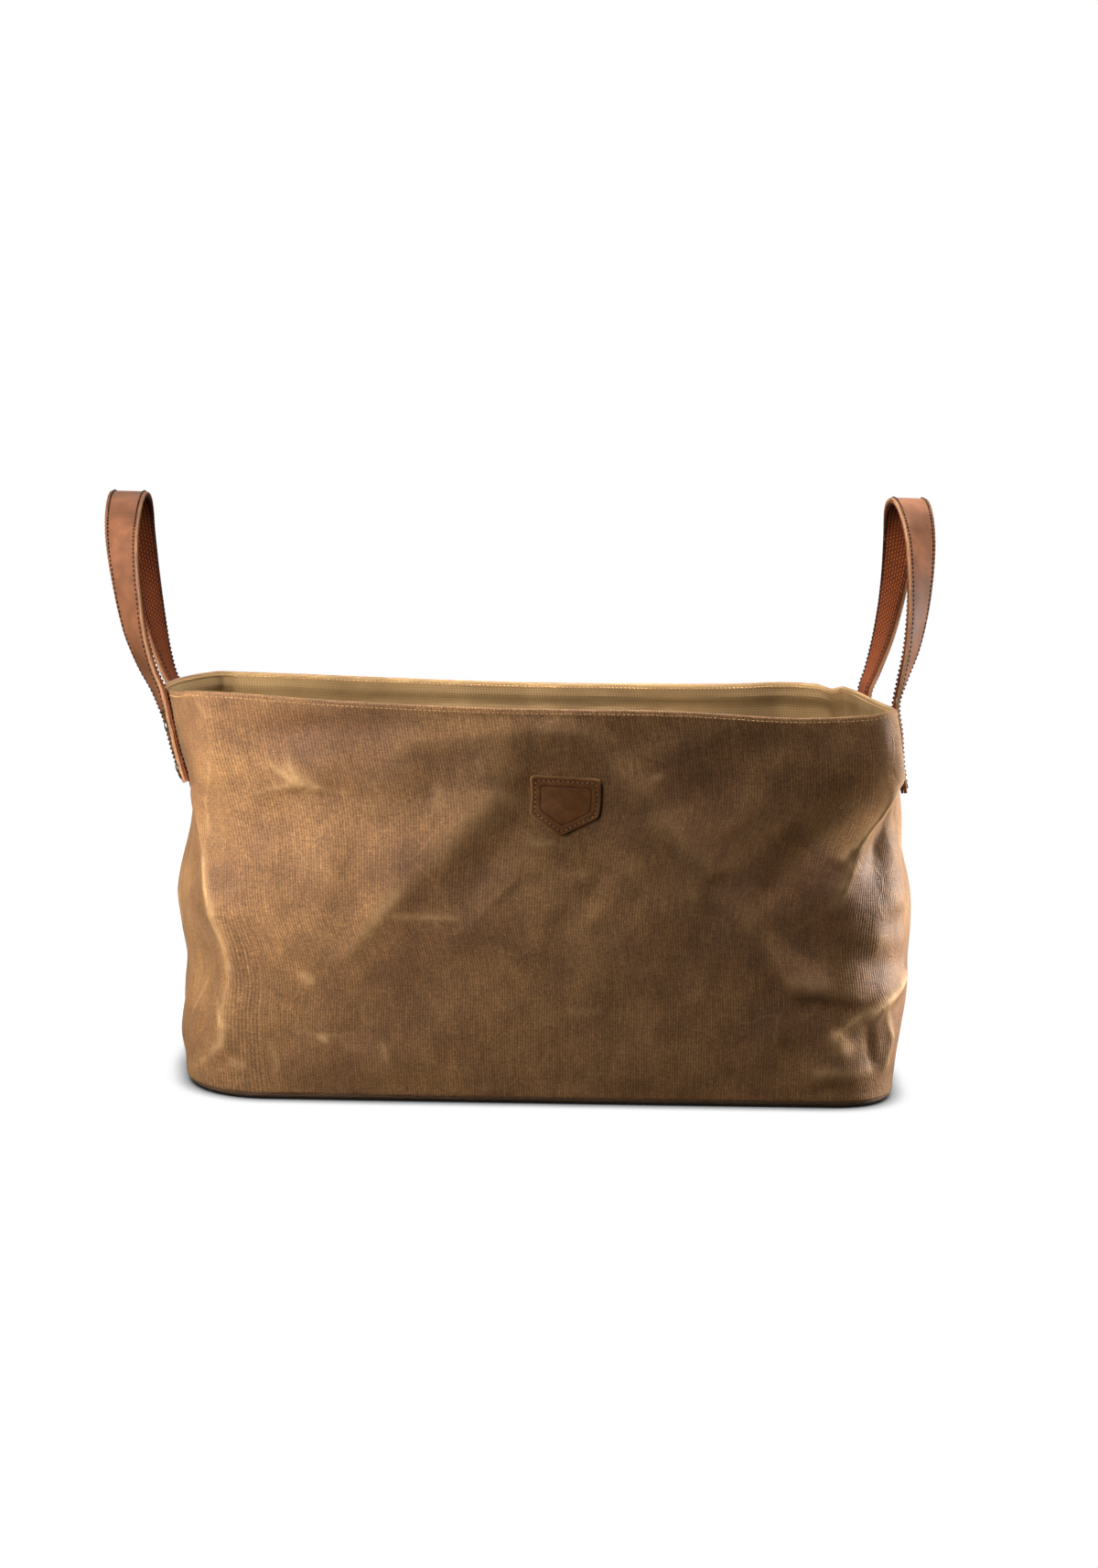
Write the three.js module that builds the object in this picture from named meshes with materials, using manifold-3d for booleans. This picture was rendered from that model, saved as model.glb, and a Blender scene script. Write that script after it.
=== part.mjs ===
// Firewood bag in waxed canvas: an open, slumping tote on a flat sewn base, with a carrying loop of
// leather backed by webbing riveted to each end, and a stitched leather badge on the front.
// Millimetres, +Z up, -Y is the front. The origin is on the floor under the middle of the base.
import * as THREE from "three";
import { mergeVertices } from "three/addons/utils/BufferGeometryUtils.js";
import Module from "manifold-3d";

const wasm = await Module();
wasm.setup();

// Driving dimensions of the bag
const HALF_WIDTH = 266; // nominal, centre to corner along the front
const HALF_DEPTH = 145; // nominal, centre to corner along an end
const RIM_HEIGHT = 296; // nominal, before it sags
const SEAM_HEIGHT = 5; // the wall is sewn to the base this far above the floor
const CANVAS = 2; // doubled canvas
const HEM_HEIGHT = 14; // the rim is turned in this far
const HEM_EXTRA = 1; // what the turning adds to the wall
const GAP = 0.3; // between neighbouring pieces

// Driving dimensions of the loops, rivets and badge
const STRAP_WIDTH = 28;
const LEATHER = 2.6;
const WEBBING = 1.8;
const WEBBING_INSET = 0.8; // the webbing stays this far inside the leather's edge
const TAB_LENGTH = 66; // strap below the rim
const TAB_CLEARANCE = 0.8; // between the flat strap and the curved canvas
const RIVET_DROPS = [26, 57]; // below the rim
const RIVET = { capRadius: 4.5, capHeight: 1.7, postRadius: 1.6, washerRadius: 4, washerHeight: 1.1 };
const BADGE = {
  girth: 10.5, // its middle on the wall
  height: 220,
  width: 51,
  top: 24, // heights of its edges above the middle
  shoulder: -5,
  tip: -22,
  clip: 3, // cut off each top corner
  thickness: 2.4,
  lift: 0.9, // above the canvas
};

// Column names and rows of numbers as a list of objects.
const table = (names, ...rows) =>
  rows.map((row) => Object.fromEntries(names.map((name, i) => [name, row[i]])));

// The wall's plan at a few heights: where the panels stand at their corners, the corner radii, and
// how far each panel bows out at its middle. The rim leans to the left and the ends belly out below.
const LEVELS = table(
  [
    ...["height", "left", "right", "front", "back", "roundLeft", "roundRight"],
    ...["bowLeft", "bowRight", "bowFront", "bowBack"],
  ],
  [5, -271, 263, -144.5, 144, 64, 50, 6, 7, 1, 1],
  [30, -272, 265, -147, 147, 62, 52, 9, 9, 4, 5],
  [62, -268, 270, -148, 149, 56, 57, 11, 10, 7, 10],
  [88, -265, 271, -148, 150, 54, 60, 12, 12, 8, 12],
  [114, -268, 271, -148, 150, 52, 63, 14, 13, 9, 14],
  [140, -270, 269, -147, 150, 44, 60, 16, 13, 10, 15],
  [192, -262, 262, -145, 148, 30, 42, 14, 11, 9, 13],
  [226, -264, 258, -144, 145, 23, 24, 14, 12, 8, 10],
  [262, -271, 255, -143, 143, 19, 20, 19, 9, 8, 8],
  [296, -277, 251, -142, 142, 18, 22, 24, 8, 9, 7],
);

// Folds pressed into the canvas, as soft ridges (height above 0) and hollows (below 0) along a line.
// Girth runs round the bag to the right from the middle of the front.
const FOLDS = table(
  ["girth0", "height0", "girth1", "height1", "width", "rise"],
  [-4, 287, -119, 141, 40, 6], // left side of the tent over the badge
  [-119, 141, -176, 87, 46, 4.5],
  [0, 287, 80, 208, 28, 4.5], // right side of the tent
  [80, 208, 126, 141, 34, 4],
  [12, 222, 26, 193, 42, -6], // hollow that holds the badge
  [-188, 264, -128, 287, 20, -4.5], // dent under the rim
  [-180, 218, -84, 222, 24, -3.5],
  [-206, 137, -170, 174, 30, 3],
  [150, 260, 196, 214, 34, -4],
  [-265, 203, -248, 157, 15, 5], // crest down the left corner
  [-248, 157, -230, 115, 15, 7],
  [-230, 115, -240, 76, 15, 6],
  [-240, 76, -266, 26, 16, 4],
  [-286, 104, -300, 73, 22, -5],
  [264, 234, 226, 191, 14, 9], // pinch down the right corner
  [262, 189, 296, 208, 24, -7],
  [200, 203, 214, 230, 24, -5],
  [208, 152, 278, 156, 14, 6], // buckles round the right corner
  [214, 128, 270, 131, 13, -6],
  [188, 104, 280, 102, 17, 6],
  [222, 79, 252, 79, 13, -7],
  [284, 95, 240, 60, 13, 7],
  [206, 31, 268, 23, 12, 4],
  [-430, 156, -400, 94, 40, 2], // left end
  [400, 146, 430, 104, 40, 5], // right end
  [-700, 239, -640, 125, 45, 6], // back
  [700, 250, 620, 115, 45, 6],
  [-822, 198, -780, 156, 55, -6],
);

// Where the rim hangs below its nominal height, or stands above it.
const RIM_DIPS = table(
  ["girth", "span", "drop"],
  [-225, 70, -3.6],
  [-10, 150, 4],
  [175, 65, 6],
  [411, 80, 4],
  [-411, 70, 2],
  [822, 180, 5],
);

// The carrying loops above the rim. Places along a leg, from its foot up to the crown, are shares of the
// loop's rise and of the foot's distance from the end's middle.
const LOOP_RISE = [0, 0.13, 0.29, 0.47, 0.65, 0.81, 0.93, 0.985, 1];
const LOOP_SPREAD = [1, 1.01, 1.01, 0.98, 0.92, 0.76, 0.5, 0.24, 0];
// For each leg: its girth from the middle of the end, how far it leans over as a share of the way from
// foot to crown, and the turn of the strap from flat against the end (90) to straight across (0).
const HANDLES = [
  {
    name: "left",
    side: -1,
    rise: 142,
    crown: -328,
    front: {
      girth: -73,
      lean: [0.06, 0.29, 0.5, 0.65, 0.77, 0.87, 0.94, 0.98, 1],
      turn: [68, 61, 52, 44, 38, 31, 19, 8, 0],
    },
    back: {
      girth: 54,
      lean: [0.19, 0.4, 0.58, 0.74, 0.88, 0.97, 1, 1, 1],
      turn: [81, 73, 63, 53, 43, 33, 19, 8, 0],
    },
  },
  {
    name: "right",
    side: 1,
    rise: 153,
    crown: 274.5,
    front: {
      girth: -53,
      lean: [0.03, 0.26, 0.62, 0.85, 0.95, 1, 1, 1, 1],
      turn: [81, 74, 62, 51, 41, 32, 19, 8, 0],
    },
    back: {
      girth: 64,
      lean: [0, 0.36, 0.74, 1.02, 1.18, 1.2, 1.1, 1.03, 1],
      turn: [84, 78, 68, 59, 49, 37, 21, 8, 0],
    },
  },
];

// Facets
const COLUMN_STEPS = { front: 26, corner: 6, end: 8, back: 10 };
const ROW_HEIGHTS = [
  5, 10, 21, 37, 53, 69, 85, 100, 115, 130, 145, 160, 175, 190, 206, 223, 241, 260, 281, 282.5, 296,
];
const TAB_STEP = TAB_LENGTH / 3;
const TAB_DROPS = [TAB_LENGTH, 2 * TAB_STEP, TAB_STEP];
const STRAP_STEPS = 2; // between two rows of the loop
const RIVET_SIDES = 9;
const BADGE_STEPS = 6; // across, and again up each half
const COLUMN_ROUND = 45; // girth given to half a corner

const CORNER_PULL = 0.55; // Bezier handle of a round corner, as a share of its radius
const END_GIRTH = HALF_WIDTH + HALF_DEPTH;
const HALF_GIRTH = 2 * END_GIRTH;

// Evenly spaced numbers from one end up to the other, which is left out.
const run = (from, to, steps) =>
  Array.from({ length: steps }, (_, i) => THREE.MathUtils.lerp(from, to, i / steps));

// Value of one column of a table at a height, on a smooth curve through its rows.
function atHeight(rows, name, height) {
  const last = rows.length - 1;
  const found = rows.findIndex((row) => row.height >= height);
  const i = Math.max(1, found < 0 ? last : found);
  const slope = (k) => {
    const low = rows[Math.max(0, k - 1)];
    const high = rows[Math.min(last, k + 1)];
    return (high[name] - low[name]) / (high.height - low.height);
  };
  const span = rows[i].height - rows[i - 1].height;
  const t = (height - rows[i - 1].height) / span;
  const ease = t * t * (3 - 2 * t);
  const start = t * (1 - t) * (1 - t) * span * slope(i - 1);
  const end = t * t * (t - 1) * span * slope(i);
  return rows[i - 1][name] * (1 - ease) + rows[i][name] * ease + start + end;
}

const levelAt = (height) =>
  Object.fromEntries(Object.keys(LEVELS[0]).map((name) => [name, atHeight(LEVELS, name, height)]));

// Point of the round corner that leaves p1 along t1 and reaches p2 along t2.
function cornerPoint(p1, t1, p2, t2, radius, t) {
  const pull = CORNER_PULL * radius;
  const a = p1.clone().addScaledVector(t1.normalize(), pull);
  const b = p2.clone().addScaledVector(t2.normalize(), -pull);
  return new THREE.CubicBezierCurve(p1, a, b, p2).getPoint(t);
}

// Plan of the right half of the wall, from the middle of the front to the middle of the back.
function halfPlan(level, girth) {
  const round = level.roundRight;
  const middle = (level.left + level.roundLeft + level.right - round) / 2;
  const flatX = level.right - round - middle;
  const flatY = (level.back - level.front) / 2 - round;
  const middleY = (level.back + level.front) / 2;
  const bow = (t, depth) => depth * (1 - t * t);
  const frontEnd = HALF_WIDTH - COLUMN_ROUND;
  const sideStart = HALF_WIDTH + COLUMN_ROUND;
  const sideEnd = HALF_WIDTH + 2 * HALF_DEPTH - COLUMN_ROUND;
  const backStart = HALF_WIDTH + 2 * HALF_DEPTH + COLUMN_ROUND;
  if (girth <= frontEnd) {
    const t = girth / frontEnd;
    return new THREE.Vector2(middle + t * flatX, level.front - bow(t, level.bowFront));
  }
  if (girth < sideStart)
    return cornerPoint(
      new THREE.Vector2(level.right - round, level.front),
      new THREE.Vector2(flatX, 2 * level.bowFront),
      new THREE.Vector2(level.right, level.front + round),
      new THREE.Vector2(2 * level.bowRight, flatY),
      round,
      (girth - frontEnd) / (sideStart - frontEnd),
    );
  if (girth <= sideEnd) {
    const t = (girth - END_GIRTH) / (END_GIRTH - sideStart);
    return new THREE.Vector2(level.right + bow(t, level.bowRight), middleY + t * flatY);
  }
  if (girth < backStart)
    return cornerPoint(
      new THREE.Vector2(level.right, level.back - round),
      new THREE.Vector2(-2 * level.bowRight, flatY),
      new THREE.Vector2(level.right - round, level.back),
      new THREE.Vector2(-flatX, 2 * level.bowBack),
      round,
      (girth - sideEnd) / (backStart - sideEnd),
    );
  const t = (HALF_GIRTH - girth) / (HALF_GIRTH - backStart);
  return new THREE.Vector2(middle + t * flatX, level.back + bow(t, level.bowBack));
}

// How far round the bag a girth lies from another, by the shorter way.
function girthBetween(from, to) {
  return THREE.MathUtils.euclideanModulo(to - from + HALF_GIRTH, 2 * HALF_GIRTH) - HALF_GIRTH;
}

// Plan of the whole wall: the left half is the right half of the mirrored bag.
function planPoint(level, girth) {
  const fromFront = girthBetween(0, girth);
  if (fromFront >= 0) return halfPlan(level, fromFront);
  const mirrored = {
    ...level,
    left: -level.right,
    right: -level.left,
    roundLeft: level.roundRight,
    roundRight: level.roundLeft,
    bowRight: level.bowLeft,
  };
  const point = halfPlan(mirrored, -fromFront);
  return new THREE.Vector2(-point.x, point.y);
}

// How far a fold moves the canvas out at a place on the wall.
function foldRise(fold, girth, height) {
  const along = new THREE.Vector2(fold.girth1 - fold.girth0, fold.height1 - fold.height0);
  const here = new THREE.Vector2(girthBetween(fold.girth0, girth), height - fold.height0);
  const share = THREE.MathUtils.clamp(here.dot(along) / along.lengthSq(), 0, 1);
  const away = here.addScaledVector(along, -share).length() / fold.width;
  return fold.rise * Math.exp(-away * away);
}

// Outer face of the wall at a girth and a nominal height.
function wallPoint(girth, height) {
  const level = levelAt(height);
  const point = planPoint(level, girth);
  const ahead = planPoint(level, girth + 1);
  const behind = planPoint(level, girth - 1);
  const outward = new THREE.Vector2(ahead.y - behind.y, behind.x - ahead.x).normalize();
  const fade =
    THREE.MathUtils.smoothstep(height, SEAM_HEIGHT, 28) *
    (1 - 0.75 * THREE.MathUtils.smoothstep(height, RIM_HEIGHT - 22, RIM_HEIGHT));
  const rise = fade * FOLDS.reduce((sum, fold) => sum + foldRise(fold, girth, height), 0);
  const dipAt = (dip) => dip.drop * Math.exp(-((girthBetween(dip.girth, girth) / dip.span) ** 2));
  const drop = RIM_DIPS.reduce((sum, dip) => sum + dipAt(dip), 0);
  point.addScaledVector(outward, rise);
  return new THREE.Vector3(point.x, point.y, height - drop * (height / RIM_HEIGHT) ** 4);
}

// Outward normal of the wall. At the seam and the rim it is level, so those edges are cut square.
function wallNormal(girth, height) {
  const round = wallPoint(girth + 1, height).sub(wallPoint(girth - 1, height));
  if (height <= SEAM_HEIGHT || height >= RIM_HEIGHT) round.z = 0;
  const up =
    height <= SEAM_HEIGHT || height >= RIM_HEIGHT
      ? new THREE.Vector3(0, 0, 1)
      : wallPoint(girth, height + 1).sub(wallPoint(girth, height - 1));
  return round.cross(up).normalize();
}

const wallOffset = (girth, height, out) =>
  wallPoint(girth, height).addScaledVector(wallNormal(girth, height), out);

// Triangles of a polygon that lies nearly in one plane, as corner numbers in the polygon's own turn.
function polygonTriangles(ring) {
  const normal = new THREE.Vector3();
  ring.forEach((p, i) => normal.add(p.clone().cross(ring[(i + 1) % ring.length])));
  const across = ring[1].clone().sub(ring[0]).normalize();
  const up = normal.normalize().clone().cross(across);
  const outline = ring.map((p) => new THREE.Vector2(p.dot(across), p.dot(up)));
  return THREE.ShapeUtils.triangulateShape(outline, []);
}

// Closed surface through a stack of rings. Each ring turns anticlockwise as seen from the next one.
// A looped stack joins its last ring to its first, and any other stack is capped at both ends. The
// first half of a ring splits its facets one way and the second half the other, so that the two faces
// of a twisted strap crease along the same lines.
function stackRings(rings, { looped = false } = {}) {
  const corners = [];
  const joined = looped ? rings.length : rings.length - 1;
  for (let i = 0; i < joined; i++) {
    const low = rings[i];
    const high = rings[(i + 1) % rings.length];
    low.forEach((a, k) => {
      const b = low[(k + 1) % low.length];
      const c = high[(k + 1) % low.length];
      const d = high[k];
      if (k < low.length / 2) corners.push(a, b, c, a, c, d);
      else corners.push(a, b, d, b, c, d);
    });
  }
  if (!looped) {
    const first = rings[0];
    const last = rings[rings.length - 1];
    polygonTriangles(first).forEach(([a, b, c]) => corners.push(first[c], first[b], first[a]));
    polygonTriangles(last).forEach(([a, b, c]) => corners.push(last[a], last[b], last[c]));
  }
  return new THREE.BufferGeometry().setFromPoints(corners);
}

// Solids for boolean cuts
function toSolid(geometry) {
  const bare = geometry.clone();
  bare.deleteAttribute("normal");
  bare.deleteAttribute("uv");
  const merged = mergeVertices(bare, 1e-3);
  return new wasm.Manifold(
    new wasm.Mesh({
      numProp: 3,
      vertProperties: merged.attributes.position.array,
      triVerts: new Uint32Array(merged.index.array),
    }),
  );
}

function cutWith(geometry, cutters) {
  const solid = cutters.reduce((left, cutter) => left.subtract(toSolid(cutter)), toSolid(geometry));
  const mesh = solid.getMesh();
  return new THREE.BufferGeometry()
    .setAttribute("position", new THREE.BufferAttribute(mesh.vertProperties, 3))
    .setIndex(new THREE.BufferAttribute(mesh.triVerts, 1));
}

// Girths of the wall's columns, side by side round the bag, each side followed by its corner.
function columnGirths() {
  const sides = table(
    ["length", "steps"],
    [2 * HALF_WIDTH, COLUMN_STEPS.front],
    [2 * HALF_DEPTH, COLUMN_STEPS.end],
    [2 * HALF_WIDTH, COLUMN_STEPS.back],
    [2 * HALF_DEPTH, COLUMN_STEPS.end],
  );
  let corner = -HALF_WIDTH;
  return sides.flatMap(({ length, steps }) => {
    const start = corner + COLUMN_ROUND;
    corner += length;
    const end = corner - COLUMN_ROUND;
    return [...run(start, end, steps), ...run(end, corner + COLUMN_ROUND, COLUMN_STEPS.corner)];
  });
}

const GIRTHS = columnGirths();

// The canvas wall: one band round the bag, thicker where the rim is turned in.
function bodyWall() {
  const outer = ROW_HEIGHTS.map((height) => GIRTHS.map((girth) => wallPoint(girth, height)));
  const inner = ROW_HEIGHTS.map((height) => {
    const thickness = height > RIM_HEIGHT - HEM_HEIGHT ? CANVAS + HEM_EXTRA : CANVAS;
    return GIRTHS.map((girth) => wallOffset(girth, height, -thickness));
  });
  return stackRings([...outer, ...inner.reverse()], { looped: true });
}

// The base: a shallow canvas tray whose lip stands under the wall's lower edge.
function basePanel() {
  const ring = (height, inset) =>
    GIRTHS.map((girth) => {
      const point = wallOffset(girth, SEAM_HEIGHT, -inset);
      point.z = height;
      return point;
    });
  const lipTop = SEAM_HEIGHT - GAP;
  return stackRings([ring(0, 4.2), ring(1.6, 1.6), ring(lipTop, 1), ring(lipTop, 3.4), ring(2.2, 3.9)]);
}

// Where a leg of a loop, front or back, lies on its end panel at a drop below the rim, and the way across
// the strap that keeps one side of it facing out as it runs from the front leg over to the back leg.
function tabFrame(handle, leg, drop) {
  const girth = handle.side * (END_GIRTH + handle[leg].girth);
  const height = RIM_HEIGHT - drop;
  const normal = wallNormal(girth, Math.min(height, RIM_HEIGHT - 1));
  const across = new THREE.Vector3(-normal.y, normal.x, 0).normalize();
  return {
    place: wallPoint(girth, height).addScaledVector(normal, TAB_CLEARANCE),
    across: across.multiplyScalar(handle.side * Math.sign(handle[leg].girth)),
  };
}

// Frames along one leg, from the tab's end up to the crown.
function legFrames(handle, leg) {
  const { girth, lean, turn } = handle[leg];
  const tab = TAB_DROPS.map((drop) => tabFrame(handle, leg, drop));
  const foot = tabFrame(handle, leg, 0).place;
  const rows = LOOP_RISE.map((rise, i) => {
    const angle = THREE.MathUtils.degToRad(turn[i]);
    return {
      place: new THREE.Vector3(
        foot.x + (handle.crown - foot.x) * lean[i],
        foot.y * LOOP_SPREAD[i],
        foot.z + handle.rise * rise,
      ),
      across: new THREE.Vector3(-handle.side * Math.cos(angle), Math.sign(girth) * Math.sin(angle), 0),
    };
  });
  return [...tab, ...rows];
}

// A whole loop: its line along the webbing's inner face and the way across the strap beside it.
function makeLoop(handle) {
  const front = legFrames(handle, "front");
  const back = legFrames(handle, "back").reverse();
  const crown = front.pop();
  crown.place.lerp(back.shift().place, 0.5);
  const frames = [...front, crown, ...back];
  return {
    ...handle,
    spans: frames.length - 1,
    line: new THREE.CatmullRomCurve3(frames.map((f) => f.place)),
    across: new THREE.CatmullRomCurve3(frames.map((f) => f.across)),
  };
}

const LOOPS = HANDLES.map(makeLoop);

// Place, way out and way across of a loop at a share of its length.
function loopFrame(loop, share) {
  const along = loop.line.getTangent(share);
  const out = loop.across.getPoint(share).cross(along).normalize().multiplyScalar(-loop.side);
  return { place: loop.line.getPoint(share), out, across: along.clone().cross(out).normalize() };
}

// A flat strap along a loop, between two distances out from its line.
function strapLayer(loop, width, from, to) {
  const steps = loop.spans * STRAP_STEPS;
  const rings = Array.from({ length: steps + 1 }, (_, i) => {
    const { place, out, across } = loopFrame(loop, i / steps);
    const corner = (side, layer) =>
      place.clone().addScaledVector(across, (side * width) / 2).addScaledVector(out, layer);
    return [corner(-1, to), corner(1, to), corner(1, from), corner(-1, from)];
  });
  return stackRings(rings);
}

// A solid of revolution whose axis runs out through the strap at a rivet.
function onRivetAxis({ loop, leg, drop }, profile) {
  const fromEnd = (TAB_LENGTH - drop) / TAB_STEP / loop.spans;
  const { place, out } = loopFrame(loop, leg === "front" ? fromEnd : 1 - fromEnd);
  const turn = new THREE.Quaternion().setFromUnitVectors(new THREE.Vector3(0, 1, 0), out);
  const points = profile.map(([radius, reach]) => new THREE.Vector2(radius, reach));
  return new THREE.LatheGeometry(points, RIVET_SIDES).applyQuaternion(turn).translate(...place.toArray());
}

// Distances along a rivet's axis, from the webbing's inner face.
const LEATHER_IN = WEBBING + GAP;
const LEATHER_OUT = LEATHER_IN + LEATHER;
const CANVAS_IN = -(TAB_CLEARANCE + CANVAS);

// A two-part rivet set through leather, webbing and canvas: cap, post and inside washer.
function rivet(spot) {
  const capFoot = LEATHER_OUT + GAP;
  const washerFace = CANVAS_IN - 2.5 * GAP;
  const { capRadius, capHeight, postRadius, washerRadius, washerHeight } = RIVET;
  const profile = [
    [0, washerFace - washerHeight],
    [washerRadius, washerFace - washerHeight * 0.6],
    [washerRadius, washerFace],
    [postRadius, washerFace],
    [postRadius, capFoot],
    [capRadius, capFoot],
    [capRadius * 0.94, capFoot + capHeight * 0.45],
    [capRadius * 0.6, capFoot + capHeight * 0.88],
    [0, capFoot + capHeight],
  ];
  return onRivetAxis(spot, profile);
}

// The hole for a rivet's post.
function rivetHole(spot) {
  const radius = RIVET.postRadius + GAP;
  const reach = 8;
  const outside = reach + LEATHER_OUT;
  const profile = [[0, -reach], [radius, -reach], [radius, outside], [0, outside]];
  return onRivetAxis(spot, profile);
}

const RIVETS = LOOPS.flatMap((loop) =>
  ["front", "back"].flatMap((leg) =>
    RIVET_DROPS.map((drop, i) => ({
      name: `rivet_${loop.name}_${leg}_${i ? "lower" : "upper"}`,
      loop,
      leg,
      drop,
    })),
  ),
);
const holesOf = (loops) => RIVETS.filter((spot) => loops.includes(spot.loop)).map(rivetHole);

// Half the badge's width at a height above its middle.
function badgeHalfWidth(height) {
  const half = BADGE.width / 2;
  if (height > BADGE.top - BADGE.clip) return half - BADGE.clip;
  if (height >= BADGE.shoulder) return half;
  return Math.max(1.5, (half * (height - BADGE.tip)) / (BADGE.shoulder - BADGE.tip));
}

// The badge: a shield of leather that follows the canvas, square at the top and pointed below.
function badge() {
  const heights = [
    ...run(BADGE.tip, BADGE.shoulder, BADGE_STEPS / 2),
    ...run(BADGE.shoulder, BADGE.top - BADGE.clip, BADGE_STEPS),
    BADGE.top - BADGE.clip,
    BADGE.top,
  ];
  const shares = [...run(-1, 1, BADGE_STEPS), 1];
  const left = wallPoint(BADGE.girth - 1, BADGE.height);
  const girthPerMm = 2 / left.distanceTo(wallPoint(BADGE.girth + 1, BADGE.height));
  const rings = heights.map((height) => {
    const reach = badgeHalfWidth(height) * girthPerMm;
    const place = (share, out) =>
      wallOffset(BADGE.girth + share * reach, BADGE.height + height, BADGE.lift + out);
    const face = shares.map((share) => place(share, BADGE.thickness));
    const back = shares.map((share) => place(share, 0)).reverse();
    return [...face, ...back];
  });
  return stackRings(rings);
}

const MATERIALS = {
  canvas: new THREE.MeshStandardMaterial({ color: 0x7a5a38, roughness: 0.75 }),
  base: new THREE.MeshStandardMaterial({ color: 0x5d452c, roughness: 0.8 }),
  leather: new THREE.MeshStandardMaterial({ color: 0x9a633e, roughness: 0.55 }),
  webbing: new THREE.MeshStandardMaterial({ color: 0x8a4a2f, roughness: 0.9 }),
  badge: new THREE.MeshStandardMaterial({ color: 0x6d4526, roughness: 0.55 }),
  rivet: new THREE.MeshStandardMaterial({ color: 0xb9b2a2, roughness: 0.3, metalness: 1 }),
};

const bag = new THREE.Group();
function add(name, geometry, material) {
  const mesh = new THREE.Mesh(geometry, material);
  mesh.name = name;
  bag.add(mesh);
}

add("body_wall", cutWith(bodyWall(), holesOf(LOOPS)), MATERIALS.canvas);
add("base_panel", basePanel(), MATERIALS.base);
for (const loop of LOOPS) {
  const leather = strapLayer(loop, STRAP_WIDTH, LEATHER_IN, LEATHER_OUT);
  const webbing = strapLayer(loop, STRAP_WIDTH - 2 * WEBBING_INSET, 0, WEBBING);
  add(`handle_${loop.name}_leather`, cutWith(leather, holesOf([loop])), MATERIALS.leather);
  add(`handle_${loop.name}_webbing`, cutWith(webbing, holesOf([loop])), MATERIALS.webbing);
}
for (const spot of RIVETS) add(spot.name, rivet(spot), MATERIALS.rivet);
add("front_badge", badge(), MATERIALS.badge);

export default bag;
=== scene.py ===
import math

import bpy
import numpy as np
from mathutils import Matrix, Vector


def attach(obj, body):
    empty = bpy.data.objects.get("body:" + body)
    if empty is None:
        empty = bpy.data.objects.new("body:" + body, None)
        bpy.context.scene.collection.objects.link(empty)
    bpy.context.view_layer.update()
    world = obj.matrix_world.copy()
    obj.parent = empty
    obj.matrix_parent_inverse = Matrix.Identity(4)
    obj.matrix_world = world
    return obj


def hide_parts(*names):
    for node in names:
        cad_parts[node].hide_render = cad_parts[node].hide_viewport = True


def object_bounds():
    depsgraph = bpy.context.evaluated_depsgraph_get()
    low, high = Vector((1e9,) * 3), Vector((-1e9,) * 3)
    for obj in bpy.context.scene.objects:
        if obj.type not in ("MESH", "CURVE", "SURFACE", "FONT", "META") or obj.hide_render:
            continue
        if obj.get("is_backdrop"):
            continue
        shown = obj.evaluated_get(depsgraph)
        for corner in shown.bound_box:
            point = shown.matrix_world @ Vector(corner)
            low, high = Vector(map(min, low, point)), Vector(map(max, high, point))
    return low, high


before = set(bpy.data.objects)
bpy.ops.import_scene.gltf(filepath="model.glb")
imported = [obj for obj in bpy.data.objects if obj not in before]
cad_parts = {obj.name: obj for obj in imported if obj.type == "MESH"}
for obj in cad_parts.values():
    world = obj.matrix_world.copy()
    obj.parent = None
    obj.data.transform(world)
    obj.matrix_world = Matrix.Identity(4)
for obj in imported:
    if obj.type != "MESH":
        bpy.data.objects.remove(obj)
cad_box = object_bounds()

# Canvas wall: one band of doubled, waxed cotton duck sewn into a ring, slumped and creased with use.
# Its rim is turned in, and its lower edge is turned under and sewn to the base.
MM = 0.001
HALF_WIDTH, HALF_DEPTH = 266, 145  # centre to corner along the front and along an end, mm
SEAM_HEIGHT, RIM_HEIGHT = 5, 296
CANVAS, HEM = 2, 3  # thickness of the wall, and of its rim where it is turned in
CORNER_GIRTH = 45  # girth given to half a corner
END_GIRTH = HALF_WIDTH + HALF_DEPTH
HALF_GIRTH = 2 * END_GIRTH


def table(names, *rows):
    """Rows of numbers as columns by name."""
    return dict(zip(names.split(), np.array(rows, float).T))


# The band's plan at a few heights: where its panels stand at the corners, the corner radii, and how far
# each panel bows out at its middle.
LEVELS = table(
    "height left right front back round_left round_right bow_left bow_right bow_front bow_back",
    (5, -271, 263, -144.5, 144, 64, 50, 6, 7, 1, 1),
    (30, -272, 265, -147, 147, 62, 52, 9, 9, 4, 5),
    (62, -268, 270, -148, 149, 56, 57, 11, 10, 7, 10),
    (88, -265, 271, -148, 150, 54, 60, 12, 12, 8, 12),
    (114, -268, 271, -148, 150, 52, 63, 14, 13, 9, 14),
    (140, -270, 269, -147, 150, 44, 60, 16, 13, 10, 15),
    (192, -262, 262, -145, 148, 30, 42, 14, 11, 9, 13),
    (226, -264, 258, -144, 145, 23, 24, 14, 12, 8, 10),
    (262, -271, 255, -143, 143, 19, 20, 19, 9, 8, 8),
    (296, -277, 251, -142, 142, 18, 22, 24, 8, 9, 7),
)
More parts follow.
